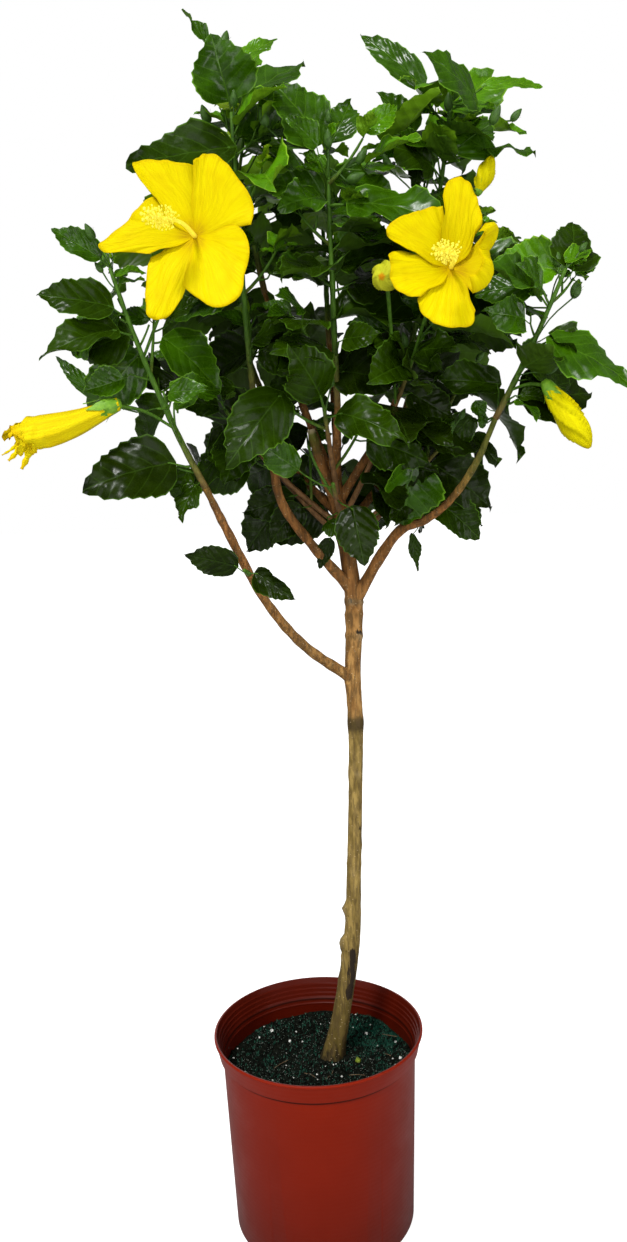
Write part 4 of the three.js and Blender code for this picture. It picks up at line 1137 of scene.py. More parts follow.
def smallLeaf(root, axis, mass, seed, plan, spread, tries):
    small = smallPlan
    spoke = spokeAt(axis, seed * goldenAngle + small["tryTurn"] * tries)
    stalk = axis * math.cos(math.radians(spread)) + spoke * math.sin(math.radians(spread))
    neck = root + stalk * drawBetween(plan["stalks"], mass, seed, 11)
    rank = clamp((root.z - crown["skirt"]) / crown["rankHeight"])
    heading, climb = bearing(stalk)
    heading += small["headingVaries"] * (draw(mass, seed, 12) - 0.5)
    along = toward(heading, mix(mix(*small["climbs"], rank), climb, small["follow"]))
    roll = small["rollVaries"] * (draw(mass, seed + tries, 13) - 0.5)
    return {"root": root, "neck": neck, "along": along, "seed": seed + small["tryKey"] * tries,
            "face": faceAt(neck, along, roll),
            "blade": drawBetween(plan["sizes"], mass, seed, 14) * small["shrinkPerTry"] ** tries}


def growSmall(root, axis, mass, seed, plan, spread, spray, young):
    for tries in range(plan["tries"]):
        leaf = smallLeaf(root, axis, mass, seed, plan, spread, tries)
        leaf["spray"], leaf["young"] = spray, young
        if insideCrown(leafTip(leaf)) and not hidesWood(leaf) and growLeaf(leaf, mass):
            return


def growSpurs(mass):
    plan = spurPlan
    for number, twig in enumerate(list(grown[mass]["twigs"])):
        length = sum((b - a).length for a, b in zip(twig["path"], twig["path"][1:]))
        for i in range(int(length / plan["every"])):
            seed = plan["key"] + number * plan["keysPerTwig"] + i
            share = (i + plan["first"]) * plan["every"] / length
            axis = pathTangent(twig["path"], share)
            spoke = spokeAt(axis, seed * goldenAngle)
            heading, climb = bearing(axis * plan["lean"][0] + spoke * plan["lean"][1])
            reach = drawBetween(plan["lengths"], mass, seed, 10)
            path = twigPath(pathPoint(twig["path"], share), heading, climb, reach, lift=plan["lift"],
                            steps=plan["steps"])
            if beforeHead(path[1]) or not insideCrown(path[-1]) or hidesFlower(path[-1]):
                continue
            if growTwig(path, plan["thick"], mass, twigAges["spur"]):
                for k in range(plan["leaves"]):
                    spread = plan["spread"] + plan["spreadStep"] * k
                    growSmall(path[-1], pathTangent(path, 1), mass, seed * 3 + k, plan, spread, seed, False)


def growSprays(mass):
    plan = sprayPlan
    for number, twig in enumerate(grown[mass]["twigs"]):
        if twig["thick"] < twigPlan["shoot"]:
            continue
        for k in range(plan["leaves"]):
            seed = plan["key"] + number * plan["keysPerTwig"] + k
            root, axis = pathPoint(twig["path"], 1 - plan["every"] * k), pathTangent(twig["path"], 1)
            spread = plan["spread"] + plan["spreadStep"] * k
            growSmall(root, axis, mass, seed, plan, spread, plan["key"] + number, True)


for mass in range(len(masses)):
    growSprays(mass)
for mass in range(len(masses)):
    growSpurs(mass)
for number, placed in enumerate(placedLeaves):
    placeLeaf(number, *placed)
for growth in grown:
    growth["leaves"] = [leaf for leaf in growth["leaves"] if not closesOpening(leaf)]
print("with finer growth:", sum(len(g["leaves"]) for g in grown), "leaves")


bladeShape = {
    "rows": 17, "columns": (-1.0, -0.55, 0.0, 0.55, 1.0), "widestAt": 0.34, "halfWidth": 0.385,
    "heart": 0.07, "tooth": 0.011, "toothForward": 0.012, "waves": (7, 13), "ripple": 0.022,
    "ripples": 23, "waveSlant": 1.7, "point": (2.1, 1.05), "youngFold": 0.3, "youngWidth": 0.75,
    # how single blades vary
    "folds": (0.05, 0.4), "droops": (0.04, 0.34), "curls": (-0.9, 0.9), "waveHeights": (0.035, 0.11),
    "twists": (-24, 24), "bends": (-0.08, 0.08), "widths": (0.88, 1.1),
}


def halfWidth(u):
    # round at the stalk, widest in the lower third, drawn out to a short point
    widest = bladeShape["widestAt"]
    if u < widest:
        return bladeShape["halfWidth"] * math.sqrt(1 - ((widest - u) / widest) ** 2)
    fuller, sharper = bladeShape["point"]
    return bladeShape["halfWidth"] * (1 - ((u - widest) / (1 - widest)) ** fuller) ** sharper


def bladePoints(seed, mass, young, look):
    # local points: X along, Y across, Z out of the upper side, all as shares of the blade's length
    p, liveliness = bladeShape, look.get("wave", 1)

    def vary(name, key):
        return drawBetween(p[name], mass, seed, key)

    fold = (vary("folds", 21) + (p["youngFold"] if young else 0)) * liveliness
    droop = vary("droops", 22)
    curl = vary("curls", 23) * look.get("curl", 1)
    wave = vary("waveHeights", 24) * liveliness
    twist = math.radians(vary("twists", 25)) * liveliness
    bend = vary("bends", 26)
    phase = 6.28 * draw(mass, seed, 27)
    waves = vary("waves", 29)
    width = vary("widths", 28) * (p["youngWidth"] if young else 1.0) * look.get("wide", 1)
    points, uvs, rim = [], [], []
    for row in range(p["rows"]):
        u = row / (p["rows"] - 1)
        half = halfWidth(u)
        tooth = (1 if row % 2 else -1) * smooth(0.1, 0.25, u) * (u < 1)
        for v in p["columns"]:
            edge = abs(v) == 1.0
            x = u + edge * p["toothForward"] * tooth - p["heart"] * abs(v) * smooth(0.3, 0, u)
            y = v * (half + edge * p["tooth"] * tooth) * width
            z = fold * abs(y) - curl * y * y - droop * u * u
            start = smooth(0, 0.2, u)
            z += wave * math.sin(u * waves + phase + v * p["waveSlant"]) * abs(v) ** 1.5 * start
            z += p["ripple"] * math.sin(u * p["ripples"] + phase * 2 + v) * (abs(v) ** 3 - 0.35) * start
            y += bend * u * u
            turn = twist * u
            y, z = y * math.cos(turn) - z * math.sin(turn), y * math.sin(turn) + z * math.cos(turn)
            points.append((x, y, z))
            uvs.append((u, 0.5 + v * half))
            rim.append(1.0 if edge else 0.0)
    return np.array(points), uvs, rim


def gridFaces(rows, columns):
    wide = columns + 1
    return [(r * wide + c, (r + 1) * wide + c, (r + 1) * wide + c + 1, r * wide + c + 1)
            for r in range(rows) for c in range(columns)]


bladeFaces = gridFaces(bladeShape["rows"] - 1, len(bladeShape["columns"]) - 1)
# how a leaf's tint is chosen, which paints light and shade into it: lighter high up, outside and in front,
# darker low down, inside and toward the back
tintPlan = {
    "palestAbove": 1200, "palestShare": 0.5, "brightAbove": 1080, "outer": 0.9, "height": 0.0022,
    "spray": 0.5, "depth": 0.0006, "leaf": 0.16,
    # above these a leaf has tint 0, 1, 2 and 3, and below them 4
    "steps": (1.55, 1.05, 0.68, 0.3),
}


def tintOf(leaf, mass):
    # one tint for each spray, as painted light and shade: bright at the top and outside, dark low down and
    # inside
    if "tint" in leaf.get("look", {}):
        return leaf["look"]["tint"]
    p, height = tintPlan, leaf["neck"].z
    if leaf.get("young"):
        if height > p["palestAbove"] and draw(mass, leaf["spray"], 31) < p["palestShare"]:
            return 0
        return 1 if height > p["brightAbove"] else 2
    away = leaf["neck"] - crown["heart"]
    light = p["outer"] * math.sqrt(crownShare(*away)) + p["height"] * away.z
    light += p["spray"] * (draw(mass, leaf["spray"], 32) - 0.5) - p["depth"] * away.y
    light += p["leaf"] * (draw(mass, leaf["seed"], 33) - 0.5)
    return sum(light <= step for step in p["steps"])


def addLeaf(batch, leaf, mass):
    look = leaf.get("look", {})
    local, uvs, rim = bladePoints(leaf["seed"], mass, leaf.get("young", False), look)
    side = leaf["face"].cross(leaf["along"])
    axes = np.array([leaf["along"], side, leaf["face"]])
    points = np.array(leaf["neck"]) + (local * leaf["blade"] * look.get("long", 1)) @ axes
    addShape(batch, points, bladeFaces, tintOf(leaf, mass), {"blade": uvs}, {"rim": rim})


stalkShape = {"sag": 0.1, "perBlade": 75, "thick": (0.45, 1.15), "ends": (1.25, 0.85), "into": 0.03,
              "age": 0.1}
twigShape = {"stem": (3.6, 2.0), "thin": 1.5, "tip": 0.8, "ringEvery": 10, "knots": 0.09,
             "knotEvery": 20}


def addStalk(batch, leaf):
    p, root, neck = stalkShape, leaf["root"], leaf["neck"]
    sag = (neck - root).length * p["sag"]
    middle = root.lerp(neck, 0.5) - upward * sag + leaf["face"] * sag * 0.5
    thick = clamp(leaf["blade"] / p["perBlade"], *p["thick"])
    path = [root, middle, neck, neck + leaf["along"] * leaf["blade"] * p["into"]]
    points, faces, shares = tubeShape(path, lambda share: thick * mix(*p["ends"], share), 4, 4)
    addShape(batch, points, faces, values={"age": [p["age"]] * len(points)})


def addTwig(batch, twig):
    p = twigShape
    start, end = twig["thick"], twigPlan["tip"] * min(1, twig["thick"] / p["thin"]) * p["tip"]
    if start == twigPlan["stem"]:
        start, end = p["stem"]
    length = (twig["path"][-1] - twig["path"][0]).length

    def knotted(share):
        wave = math.sin(share * length / p["knotEvery"] * 2 * math.pi)
        return mix(start, end, share) * (1 + p["knots"] * wave)

    sides, steps = 6 if start > p["thin"] else 4, max(3, int(length / p["ringEvery"]))
    points, faces, shares = tubeShape(twig["path"], knotted, sides, steps)
    addShape(batch, points, faces, values={"age": [mix(*twig["age"], share) for share in shares]})


for mass, plan in enumerate(masses):
    leaves, twigs = newBatch("blade"), newBatch()
    for leaf in grown[mass]["leaves"]:
        addLeaf(leaves, leaf, mass)
        addStalk(twigs, leaf)
    for twig in grown[mass]["twigs"]:
        addTwig(twigs, twig)
    makePiece("leaves_" + plan["name"], leaves, leafMaterials, ["foliage_" + plan["name"]])
    makePiece("twigs_" + plan["name"], twigs, [twigSkin])
print("leaves and twigs made")


def makeActive(piece):
    bpy.ops.object.select_all(action="DESELECT")
    piece.select_set(True)
    bpy.context.view_layer.objects.active = piece


def startEdit(piece):
    makeActive(piece)
    bpy.ops.object.mode_set(mode="EDIT")


def endEdit():
    bpy.ops.object.mode_set(mode="OBJECT")


def applyModifier(piece, kind, **settings):
    makeActive(piece)
    modifier = piece.modifiers.new(kind.lower(), kind)
    for name, value in settings.items():
        setattr(modifier, name, value)
    bpy.ops.object.modifier_apply(modifier=modifier.name)


def applyPlace(piece):
    makeActive(piece)
    bpy.ops.object.transform_apply(location=True, rotation=True, scale=True)


def dress(piece, name, material):
    piece.name = name
    piece.data.name = name
    piece.data.materials.clear()
    piece.data.materials.append(material)


def turnedShell(profile, sides):
    # a round shell drawn ring by ring from its underside up, over, and down inside
    (radius, height), rest = profile[0], profile[1:]
    bpy.ops.object.select_all(action="DESELECT")
    bpy.ops.mesh.primitive_circle_add(vertices=sides, radius=radius * mm, fill_type="NGON",
                                      location=(0, 0, height * mm))
    piece = bpy.context.object
    applyPlace(piece)
    startEdit(piece)
    bpy.ops.mesh.select_all(action="SELECT")
    for nextRadius, nextHeight in rest:
        bpy.ops.mesh.extrude_region_move(TRANSFORM_OT_translate={"value": (0, 0, (nextHeight - height) * mm)})
        scale = nextRadius / radius
        bpy.ops.transform.resize(value=(scale, scale, 1), center_override=(0, 0, 0))
        radius, height = nextRadius, nextHeight
    bpy.ops.mesh.select_all(action="SELECT")
    bpy.ops.mesh.normals_make_consistent(inside=False)
    endEdit()
    return piece


potPlan = {
    "rim": 127, "height": 243, "lip": 3, "band": 23, "bandFoot": 121.5, "bodyTop": 117.5,
    "foot": 110, "chamfer": 3, "wall": 2, "floor": 3, "lipSlope": 1.5, "edge": 0.8, "sides": 120,
    "holes": 6, "holeWidth": 20, "holeHeight": 14, "softEdge": 0.35, "bevelFrom": 28, "sharpEdge": 30,
    # ledges inside the band, as shares of its height, and the bead under it
    "ledges": (0.28, 0.52, 0.76), "beadDown": 9, "bead": 1.2,
    # what counts as inside, where shade is painted: nearer the axis than this, which in the band grows with
    # the height
    "insideBody": 116.2, "insideBand": 119.5, "insideSlope": 0.25,
}


def insideWall(point):
    above = point.z - (potPlan["height"] - potPlan["band"])
    limit = potPlan["insideBody"] if above < 0.5 else potPlan["insideBand"] + potPlan["insideSlope"] * above
    return math.hypot(point.x, point.y) < limit


def makePot():
    p = potPlan
    bandBottom = p["height"] - p["band"]
    innerLip, innerFoot = p["rim"] - p["lip"] - p["lipSlope"], p["foot"] - p["wall"]
    innerBand, innerBody = p["bandFoot"] - 2 * p["wall"], p["bodyTop"] - p["wall"]
    ledges = []
    for number, share in enumerate(p["ledges"]):
        height = p["height"] - p["band"] * share
        out, inward = (mix(innerLip, innerBand, (number + k) / len(p["ledges"])) for k in (0, 1))
        ledges += [(out, height), (inward, height - p["edge"])]
    bead = bandBottom - p["beadDown"]
    profile = [
        (p["foot"] - p["chamfer"], 0), (p["foot"], p["chamfer"]), (p["bodyTop"], bandBottom),
        (p["bandFoot"], bandBottom), (p["rim"] - p["lipSlope"], p["height"] - p["lip"] - p["edge"]),
        (p["rim"], p["height"] - p["lip"]), (p["rim"], p["height"] - p["edge"]),
        (p["rim"] - p["edge"], p["height"]), (p["rim"] - p["lip"], p["height"]), *ledges,
        (innerBand, bandBottom + p["edge"]), (innerBody, bandBottom - p["wall"]),
        (innerBody - 0.2, bead + 2), (innerBody - p["bead"], bead + 1), (innerBody - p["bead"], bead),
        (innerBody - 0.6, bead - 1), (innerFoot, p["floor"] + p["chamfer"]),
        (innerFoot - p["chamfer"], p["floor"]),
    ]
    piece = turnedShell(profile, p["sides"])
    for i in range(p["holes"]):
        angle = i * 2 * math.pi / p["holes"]
        place = (p["foot"] * math.cos(angle) * mm, p["foot"] * math.sin(angle) * mm, 0)
        bpy.ops.object.select_all(action="DESELECT")
        bpy.ops.mesh.primitive_cube_add(size=1, location=place, rotation=(0, 0, angle))
        cutter = bpy.context.object
        cutter.scale = (p["holeWidth"] * mm, p["holeWidth"] * mm, p["holeHeight"] * mm)
        applyPlace(cutter)
        applyModifier(piece, "BOOLEAN", operation="DIFFERENCE", object=cutter, solver="EXACT")
        bpy.data.objects.remove(cutter)
    applyModifier(piece, "BEVEL", width=p["softEdge"] * mm, segments=2, limit_method="ANGLE",
                  angle_limit=math.radians(p["bevelFrom"]))
    makeActive(piece)
    bpy.ops.object.shade_smooth_by_angle(angle=math.radians(p["sharpEdge"]))
    # marks the inside for the painted shade
    within = [float(insideWall(vertex.co / mm)) for vertex in piece.data.vertices]
    writeValues(piece.data, "inside", within)
    dress(piece, "pot_shell", terracotta)
    finishPiece(piece, ["pot"])


makePot()
print("pot made")


soilPlan = {
    "top": 198, "flat": 45, "blend": 35, "relief": 4.5, "waves": (17, 23, 31), "crossWave": 0.4,
    "sides": 144, "rings": 44, "ringsBunch": 0.8, "sharpEdge": 50, "lumps": 1.6, "lumpSizes": (6, 2.6),
    "smallLumps": 0.6, "lumpsAtTrunk": 0.35, "crumbs": 3200, "crumbSize": (0.8, 3.0), "perlite": 60,
    "perliteSize": (0.5, 2.0), "grit": 2600, "gritSize": (0.28, 0.68), "straws": 8, "mossTufts": 7000,
    # a crumb or grain is large where its draw is above the first, and then by the second larger
    "largeCrumbs": (0.96, 1.6), "largePerlite": (0.88, 1.8), "chipReach": (0.35, 0.75),
    "pebble": (48, -7), "pebbleSize": 4.6, "wallClear": 4, "trunkClear": 17,
    "strawLengths": (9, 34), "strawClimb": 14, "strawBow": (0.12, 0.2), "strawThick": (0.45, 0.25),
    "tuftClimbs": (35, 80), "tuftLengths": (2.2, 4.6), "tuftWide": 0.7, "tuftsAbove": 0.34,
    "tuftsVary": 0.4, "tuftsElse": 0.13, "mossGrain": 14,
    # patches of moss: right, back, how wide, how thick it grows
    "moss": [
        (69, 55, 36, 1.15), (-74, 92, 26, 0.4), (20, -66, 26, 0.25), (-70, -30, 20, 0.2),
        (84, -30, 20, 0.35),
    ],
}


def soilHeight(x, y):
    p = soilPlan
    trunkX, trunkY = trunkPlan["stations"][1][1:3]
    fade = smooth(p["flat"], p["flat"] + p["blend"], math.hypot(x - trunkX, y - trunkY))
    across, deep, slanting = p["waves"]
    wave = math.sin(x / across + 1) * math.cos(y / deep) + p["crossWave"] * math.sin((x + 2 * y) / slanting)
    large, small = p["lumpSizes"]
    lumps = noise.noise(Vector((x / large, y / large, 0)))
    lumps += p["smallLumps"] * noise.noise(Vector((x / small, y / small, 5)))
    return p["top"] + p["relief"] * fade * wave + p["lumps"] * lumps * mix(p["lumpsAtTrunk"], 1, fade)


def wallInside(height):
    p = potPlan
    footTop, wallTop = p["floor"] + p["chamfer"], p["height"] - p["band"] - p["wall"]
    share = (height - footTop) / (wallTop - footTop)
    return mix(p["foot"] - p["wall"], p["bodyTop"] - p["wall"], share)


def makeSoil():
    p, clear = soilPlan, ground["clear"]
    innerFoot = potPlan["foot"] - potPlan["wall"]
    floor = potPlan["floor"] + clear
    edge = wallInside(p["top"]) - clear
    profile = [(innerFoot - potPlan["chamfer"] - clear, floor),
               (innerFoot - clear, floor + potPlan["chamfer"]), (edge, p["top"])]
    profile += [(edge * (1 - i / p["rings"]) ** p["ringsBunch"], p["top"]) for i in range(1, p["rings"])]
    piece = turnedShell(profile, p["sides"])
    for vertex in piece.data.vertices:
        x, y, z = vertex.co / mm
        if z > p["top"] - 1:
            vertex.co.z = soilHeight(x, y) * mm
    cover = [mossy(vertex.co / mm) for vertex in piece.data.vertices]
    writeValues(piece.data, "moss", cover)
    makeActive(piece)
    bpy.ops.object.shade_smooth_by_angle(angle=math.radians(p["sharpEdge"]))
    dress(piece, "soil_bed", soilDark)
    finishPiece(piece, ["soil"])


def chip(centre, size, seed, squash=0.7):
    # a small broken lump: a cube with its corners drawn in or out
    points = []
    for k, (x, y, z) in enumerate([(sx, sy, sz) for sx in (-1, 1) for sy in (-1, 1) for sz in (-1, 1)]):
        reach = size * drawBetween(soilPlan["chipReach"], seed, k, 41)
        points.append(centre + Vector((x * reach, y * reach, z * reach * squash)))
    turn = Matrix.Rotation(6.28 * draw(seed, 9, 42), 3, "Z") @ Matrix.Rotation(3 * draw(seed, 9, 43), 3, "X")
    points = [centre + turn @ (point - centre) for point in points]
    faces = [(0, 1, 3, 2), (4, 6, 7, 5), (0, 4, 5, 1), (2, 3, 7, 6), (0, 2, 6, 4), (1, 5, 7, 3)]
    return points, faces


def onSoil(seed, reach=1.0):
    # a spot on the soil, clear of the pot's wall and the trunk's foot
    trunkX, trunkY = trunkPlan["stations"][1][1:3]
    for tries in range(9):
        angle = 6.283 * draw(seed, tries, 44)
        room = wallInside(soilPlan["top"]) - soilPlan["wallClear"]
        away = room * reach * math.sqrt(draw(seed, tries, 45))
        x, y = away * math.cos(angle), away * math.sin(angle)
        if math.hypot(x - trunkX, y - trunkY) > soilPlan["trunkClear"]:
            break
    return Vector((x, y, soilHeight(x, y)))


def mossy(spot):
    # how thick moss grows at a spot
    cover = max(thick * math.exp(-((spot.x - x) ** 2 + (spot.y - y) ** 2) / wide ** 2)
                for x, y, wide, thick in soilPlan["moss"])
    grain = soilPlan["mossGrain"]
    return cover + 0.5 * noise.noise(Vector((spot.x / grain, spot.y / grain, 2.0)))


def grainSize(sizes, large, i, key):
    above, larger = large
    return drawBetween(sizes, i, key, 46) * (larger if draw(i, key, 47) > above else 1)


def addStraw(batch, i):
    p, spot = soilPlan, onSoil(5000 + i, 0.93)
    way = toward(360 * draw(i, 3, 48), p["strawClimb"] * draw(i, 3, 49))
    length = drawBetween(p["strawLengths"], i, 3, 50)
    rise, sway = p["strawBow"]
    bow = upward * (length * rise * draw(i, 3, 51))
    bow += way.cross(upward) * (length * sway * (draw(i, 3, 52) - 0.5))
    path = [spot, spot + way * length * 0.5 + bow, spot + way * length]
    if math.hypot(path[2].x, path[2].y) < wallInside(p["top"]) - 2:
        addShape(batch, *tubeShape(path, tapered(*p["strawThick"]), 4, 5)[:2])


def addTuft(batch, i):
    p, spot = soilPlan, onSoil(7000 + i)
    thin = mossy(spot) < p["tuftsAbove"] + p["tuftsVary"] * (draw(i, 4, 53) - 0.5)
    if thin and draw(i, 5, 53) > p["tuftsElse"]:
        return
    for k in range(3):
        way = toward(360 * draw(i, k, 53), drawBetween(p["tuftClimbs"], i, k, 54))
        side = way.cross(upward).normalized() * p["tuftWide"]
        tip = spot + way * drawBetween(p["tuftLengths"], i, k, 55)
        addShape(batch, [spot - side, spot + side, tip], [(0, 1, 2)])


def makeCrumbs():
    p = soilPlan
    crumbs, perlite, straws, moss = newBatch(), newBatch(), newBatch(), newBatch()
    for i in range(p["crumbs"]):
        addShape(crumbs, *chip(onSoil(i), grainSize(p["crumbSize"], p["largeCrumbs"], i, 1), i))
    for i in range(p["perlite"]):
        size = grainSize(p["perliteSize"], p["largePerlite"], i, 2)
        addShape(perlite, *chip(onSoil(4000 + i) + upward * 0.6, size, i + 500, 0.9))
    for i in range(p["grit"]):
        size = drawBetween(p["gritSize"], i, 3, 47)
        addShape(perlite, *chip(onSoil(9000 + i) + upward * 0.8, size, i + 900, 0.8), 2)
    pebble = Vector((*p["pebble"], soilHeight(*p["pebble"]) + 1.5))
    addShape(perlite, *chip(pebble, p["pebbleSize"], 31, 0.9), 1)
    for i in range(p["straws"]):
        addStraw(straws, i)
    for i in range(p["mossTufts"]):
        addTuft(moss, i)
    makePiece("soil_crumbs", crumbs, [soilDark])
    grains = [grainy[name] for name in ("perliteWhite", "pebbleLime", "gritGrey")]
    makePiece("perlite", perlite, grains)
    makePiece("straws", straws, [grainy["strawTan"]])
    makePiece("moss", moss, [grainy["mossTeal"]])


makeSoil()
makeCrumbs()
print("soil made")


limbPlan = {
    "sides": 6, "step": 3.5, "reliefs": [("barkPlates", 0.009, 0.8), ("barkGrain", 0.003, 0.35)],
    # knobs and scars on the trunk: height, heading, how far they stand out, how wide, how dark, how pale
    "knobs": [
        (673, 210, 2.6, 9, 0.1, 0), (612, 250, 1.6, 7, 0.3, 0), (624, 300, 1.2, 9, 0.2, 0),
        (700, 300, 1.1, 7, 0, 0), (394, 192, 6.5, 3.6, 0.2, 0.7), (386, 200, 2.6, 4, 0.8, 0),
        (350, 188, 8, 4, 0.1, 0.8), (341, 200, 4.5, 3.6, 0.8, 0), (330, 200, 2.2, 5, 0.3, 0.3),
        (495, 318, 0.6, 3.5, 1, 0), (560, 160, 1.0, 8, 0, 0), (470, 20, 1.2, 7, 0, 0),
        (300, 150, 1.2, 8, 0.1, 0), (728, 300, 1.6, 3.5, 0.9, 0), (722, 312, 1.8, 4, 0, 0.6),
        (745, 200, 1.6, 8, 0.3, 0), (682, 230, 1.5, 5, 0.8, 0), (765, 250, 1.2, 4, 0.6, 0.4),
        (762, 320, 1.4, 4, 0, 0.5), (790, 60, 1.5, 8, 0, 0.2), (845, 200, 1.4, 8, 0, 0),
        (440, 262, 0.7, 5, 0, 0.3), (560, 285, 0.8, 6, 0, 0.2),
    ],
    # dark patches: height, heading, how tall, how wide round the trunk
    "patches": [(336, 286, 10, 20), (322, 294, 15, 27), (300, 302, 16, 32), (284, 308, 9, 24)],
    # collars all round the trunk: height, how far they stand out, how tall, how dark
    "collars": [
        (620, 1.1, 9, 1.0), (765, 1.4, 4, 0.5), (750, 0.9, 3, 0.3), (725, 1.1, 3, 0.4), (448, 0.7, 4, 0.2),
        (838, 0.8, 6, 0.1),
    ],
    "knobTurn": 34, "flareHeight": 60, "flare": 1.6, "trunkEnd": 903,
    # rings of a bough: how far apart, how tall, how dark; and how it swells at its root and knots
    "rings": (34, 2.2, 0.55), "collar": (0.32, 16), "thinCollar": 0.2, "knots": 0.05, "knotEvery": 26,
    "taper": 0.86,
    # where along a bough the bark starts and ends its turn from brown to green
    "turnsGreen": {"low_left": (0.7, 1.4), "right": (0.38, 1.1), "stub": (0.4, 1.1)},
    "turnsGreenElse": (0.75, 1.35),
}


def limbFromPath(name, path, radiusAt):
    # a bevelled curve with its own radius at each point, turned into a mesh
    length = sum((b - a).length for a, b in zip(path, path[1:]))
    steps = int(length / limbPlan["step"])
    curve = bpy.data.curves.new(name, "CURVE")
    curve.dimensions = "3D"
    curve.bevel_depth = mm
    curve.bevel_resolution = limbPlan["sides"]
    curve.use_fill_caps = True
    line = curve.splines.new("POLY")
    line.points.add(steps)
    for i, point in enumerate(line.points):
        share = i / steps
        point.co = (*(pathPoint(path, share) * mm), 1)
        point.radius = radiusAt(share)
    piece = newObject(name, curve)
    makeActive(piece)
    bpy.ops.object.convert(target="MESH")
    return bpy.context.object


def barkRelief(piece):
    # how large and how deep the bark's plates and its grain are
    for label, size, strength in limbPlan["reliefs"]:
        texture = bpy.data.textures.get(label) or bpy.data.textures.new(label, "CLOUDS")
        texture.noise_scale = size
        applyModifier(piece, "DISPLACE", texture=texture, strength=strength * mm, mid_level=0.5,
                      texture_coords="LOCAL")


def finishLimb(piece, name, node, marks):
    barkRelief(piece)
    for label, values in marks(piece).items():
        writeValues(piece.data, label, values)
    piece.data.polygons.foreach_set("use_smooth", [True] * len(piece.data.polygons))
    dress(piece, name, bark)
    finishPiece(piece, [node])


def trunkMarks(piece):
    # pushes knobs, collars and the root flare out of the trunk, and says how dark each place is
    p = limbPlan
    dark, pale, ringed = [], [], []
    foot = ground["top"] + ground["clear"]
    for vertex in piece.data.vertices:
        place = vertex.co / mm
        middle = trunkMiddle(clamp(place.z, foot - 7, p["trunkEnd"])) or trunkPath[-1]
        spoke = Vector((place.x - middle.x, place.y - middle.y, 0))
        heading = math.degrees(math.atan2(spoke.y, spoke.x))
        out, shade, light, dim = 0.0, 0.0, 0.0, 0.0
        for height, at, stand, wide, black, bright in p["knobs"]:
            turn = (heading - at + 180) % 360 - 180
            near = math.exp(-((place.z - height) / wide) ** 2 - (turn / p["knobTurn"]) ** 2)
            out += stand * near
            shade = max(shade, black * near)
            light = max(light, bright * near ** 3)
        for height, stand, tall, tone in p["collars"]:
            near = math.exp(-((place.z - height) / tall) ** 2)
            out += stand * near
            dim = max(dim, tone * math.exp(-((place.z - height) / tall) ** 6))
        for height, at, tall, wide in p["patches"]:
            turn = (heading - at + 180) % 360 - 180
            shade = max(shade, math.exp(-((place.z - height) / tall) ** 4 - (turn / wide) ** 4))
        low = clamp(1 - (place.z - foot) / p["flareHeight"])
        out += p["flare"] * low ** 2 * (0.5 + 0.5 * math.sin(math.radians(heading * 4 + 40)))
        if spoke.length > 0.1:
            vertex.co += spoke.normalized() * (out * mm)
        dark.append(shade)
        pale.append(light)
        ringed.append(dim)
    return {"scar": dark, "pale": pale, "dim": ringed, "young": [0.0] * len(dark)}


def makeTrunk():
    piece = limbFromPath("trunk_bark", trunkPath, trunkRadius)
    startEdit(piece)
    bpy.ops.mesh.select_all(action="SELECT")
    bpy.ops.mesh.bisect(plane_co=(0, 0, (ground["top"] - 3) * mm), plane_no=(0, 0, 1), clear_inner=True,
                        use_fill=True)
    endEdit()
    finishLimb(piece, "trunk_bark", "trunk", trunkMarks)


def makeBoughs():
    p = limbPlan
    ringEvery, ringTall, ringTone = p["rings"]
    for name, (height, thick, tip, legs) in boughPlan.items():
        path = boughPaths[name]
        length = sum(leg[2] for leg in legs)

        def radiusAt(share):
            swell, fade = p["collar"]
            collar = swell * math.exp(-share * length / fade) if thick > 9 else p["thinCollar"]
            knots = p["knots"] * math.sin(share * length / p["knotEvery"] * 2 * math.pi)
            endTaper = mix(1, p["taper"], smooth(0.8, 1, share)) if name != "stub" else 1
            endTaper *= mix(1, p["taper"], smooth(0.2, 0.4, share)) if name == "right" else 1
            return mix(thick, tip, share) / 2 * (1 + collar + knots) * endTaper

        def marks(made):
            # greener toward the tip, and a pale cut at the end of the stub
            knots = np.array([pathPoint(path, i / 60) for i in range(61)])
            places = np.array([vertex.co for vertex in made.data.vertices]) / mm
            shares = np.linalg.norm(places[:, None] - knots[None], axis=2).argmin(1) / 60
            low, high = p["turnsGreen"].get(name, p["turnsGreenElse"])
            cut = np.clip((shares - 0.93) / 0.05, 0, 1) if name == "stub" else shares * 0
            aboveRing = (shares * length / ringEvery) % 1 * ringEvery
            rings = ringTone * np.exp(-(aboveRing / ringTall) ** 2) * (shares > 0.08)
            return {"young": np.clip((shares - low) / (high - low), 0, 1), "pale": cut * 0.9, "dim": rings,
                    "scar": shares * 0}

        piece = limbFromPath(name, path, radiusAt)
        finishLimb(piece, "bough_" + name + "_bark", "bough_" + name, marks)


makeTrunk()
makeBoughs()
print("trunk and boughs made")


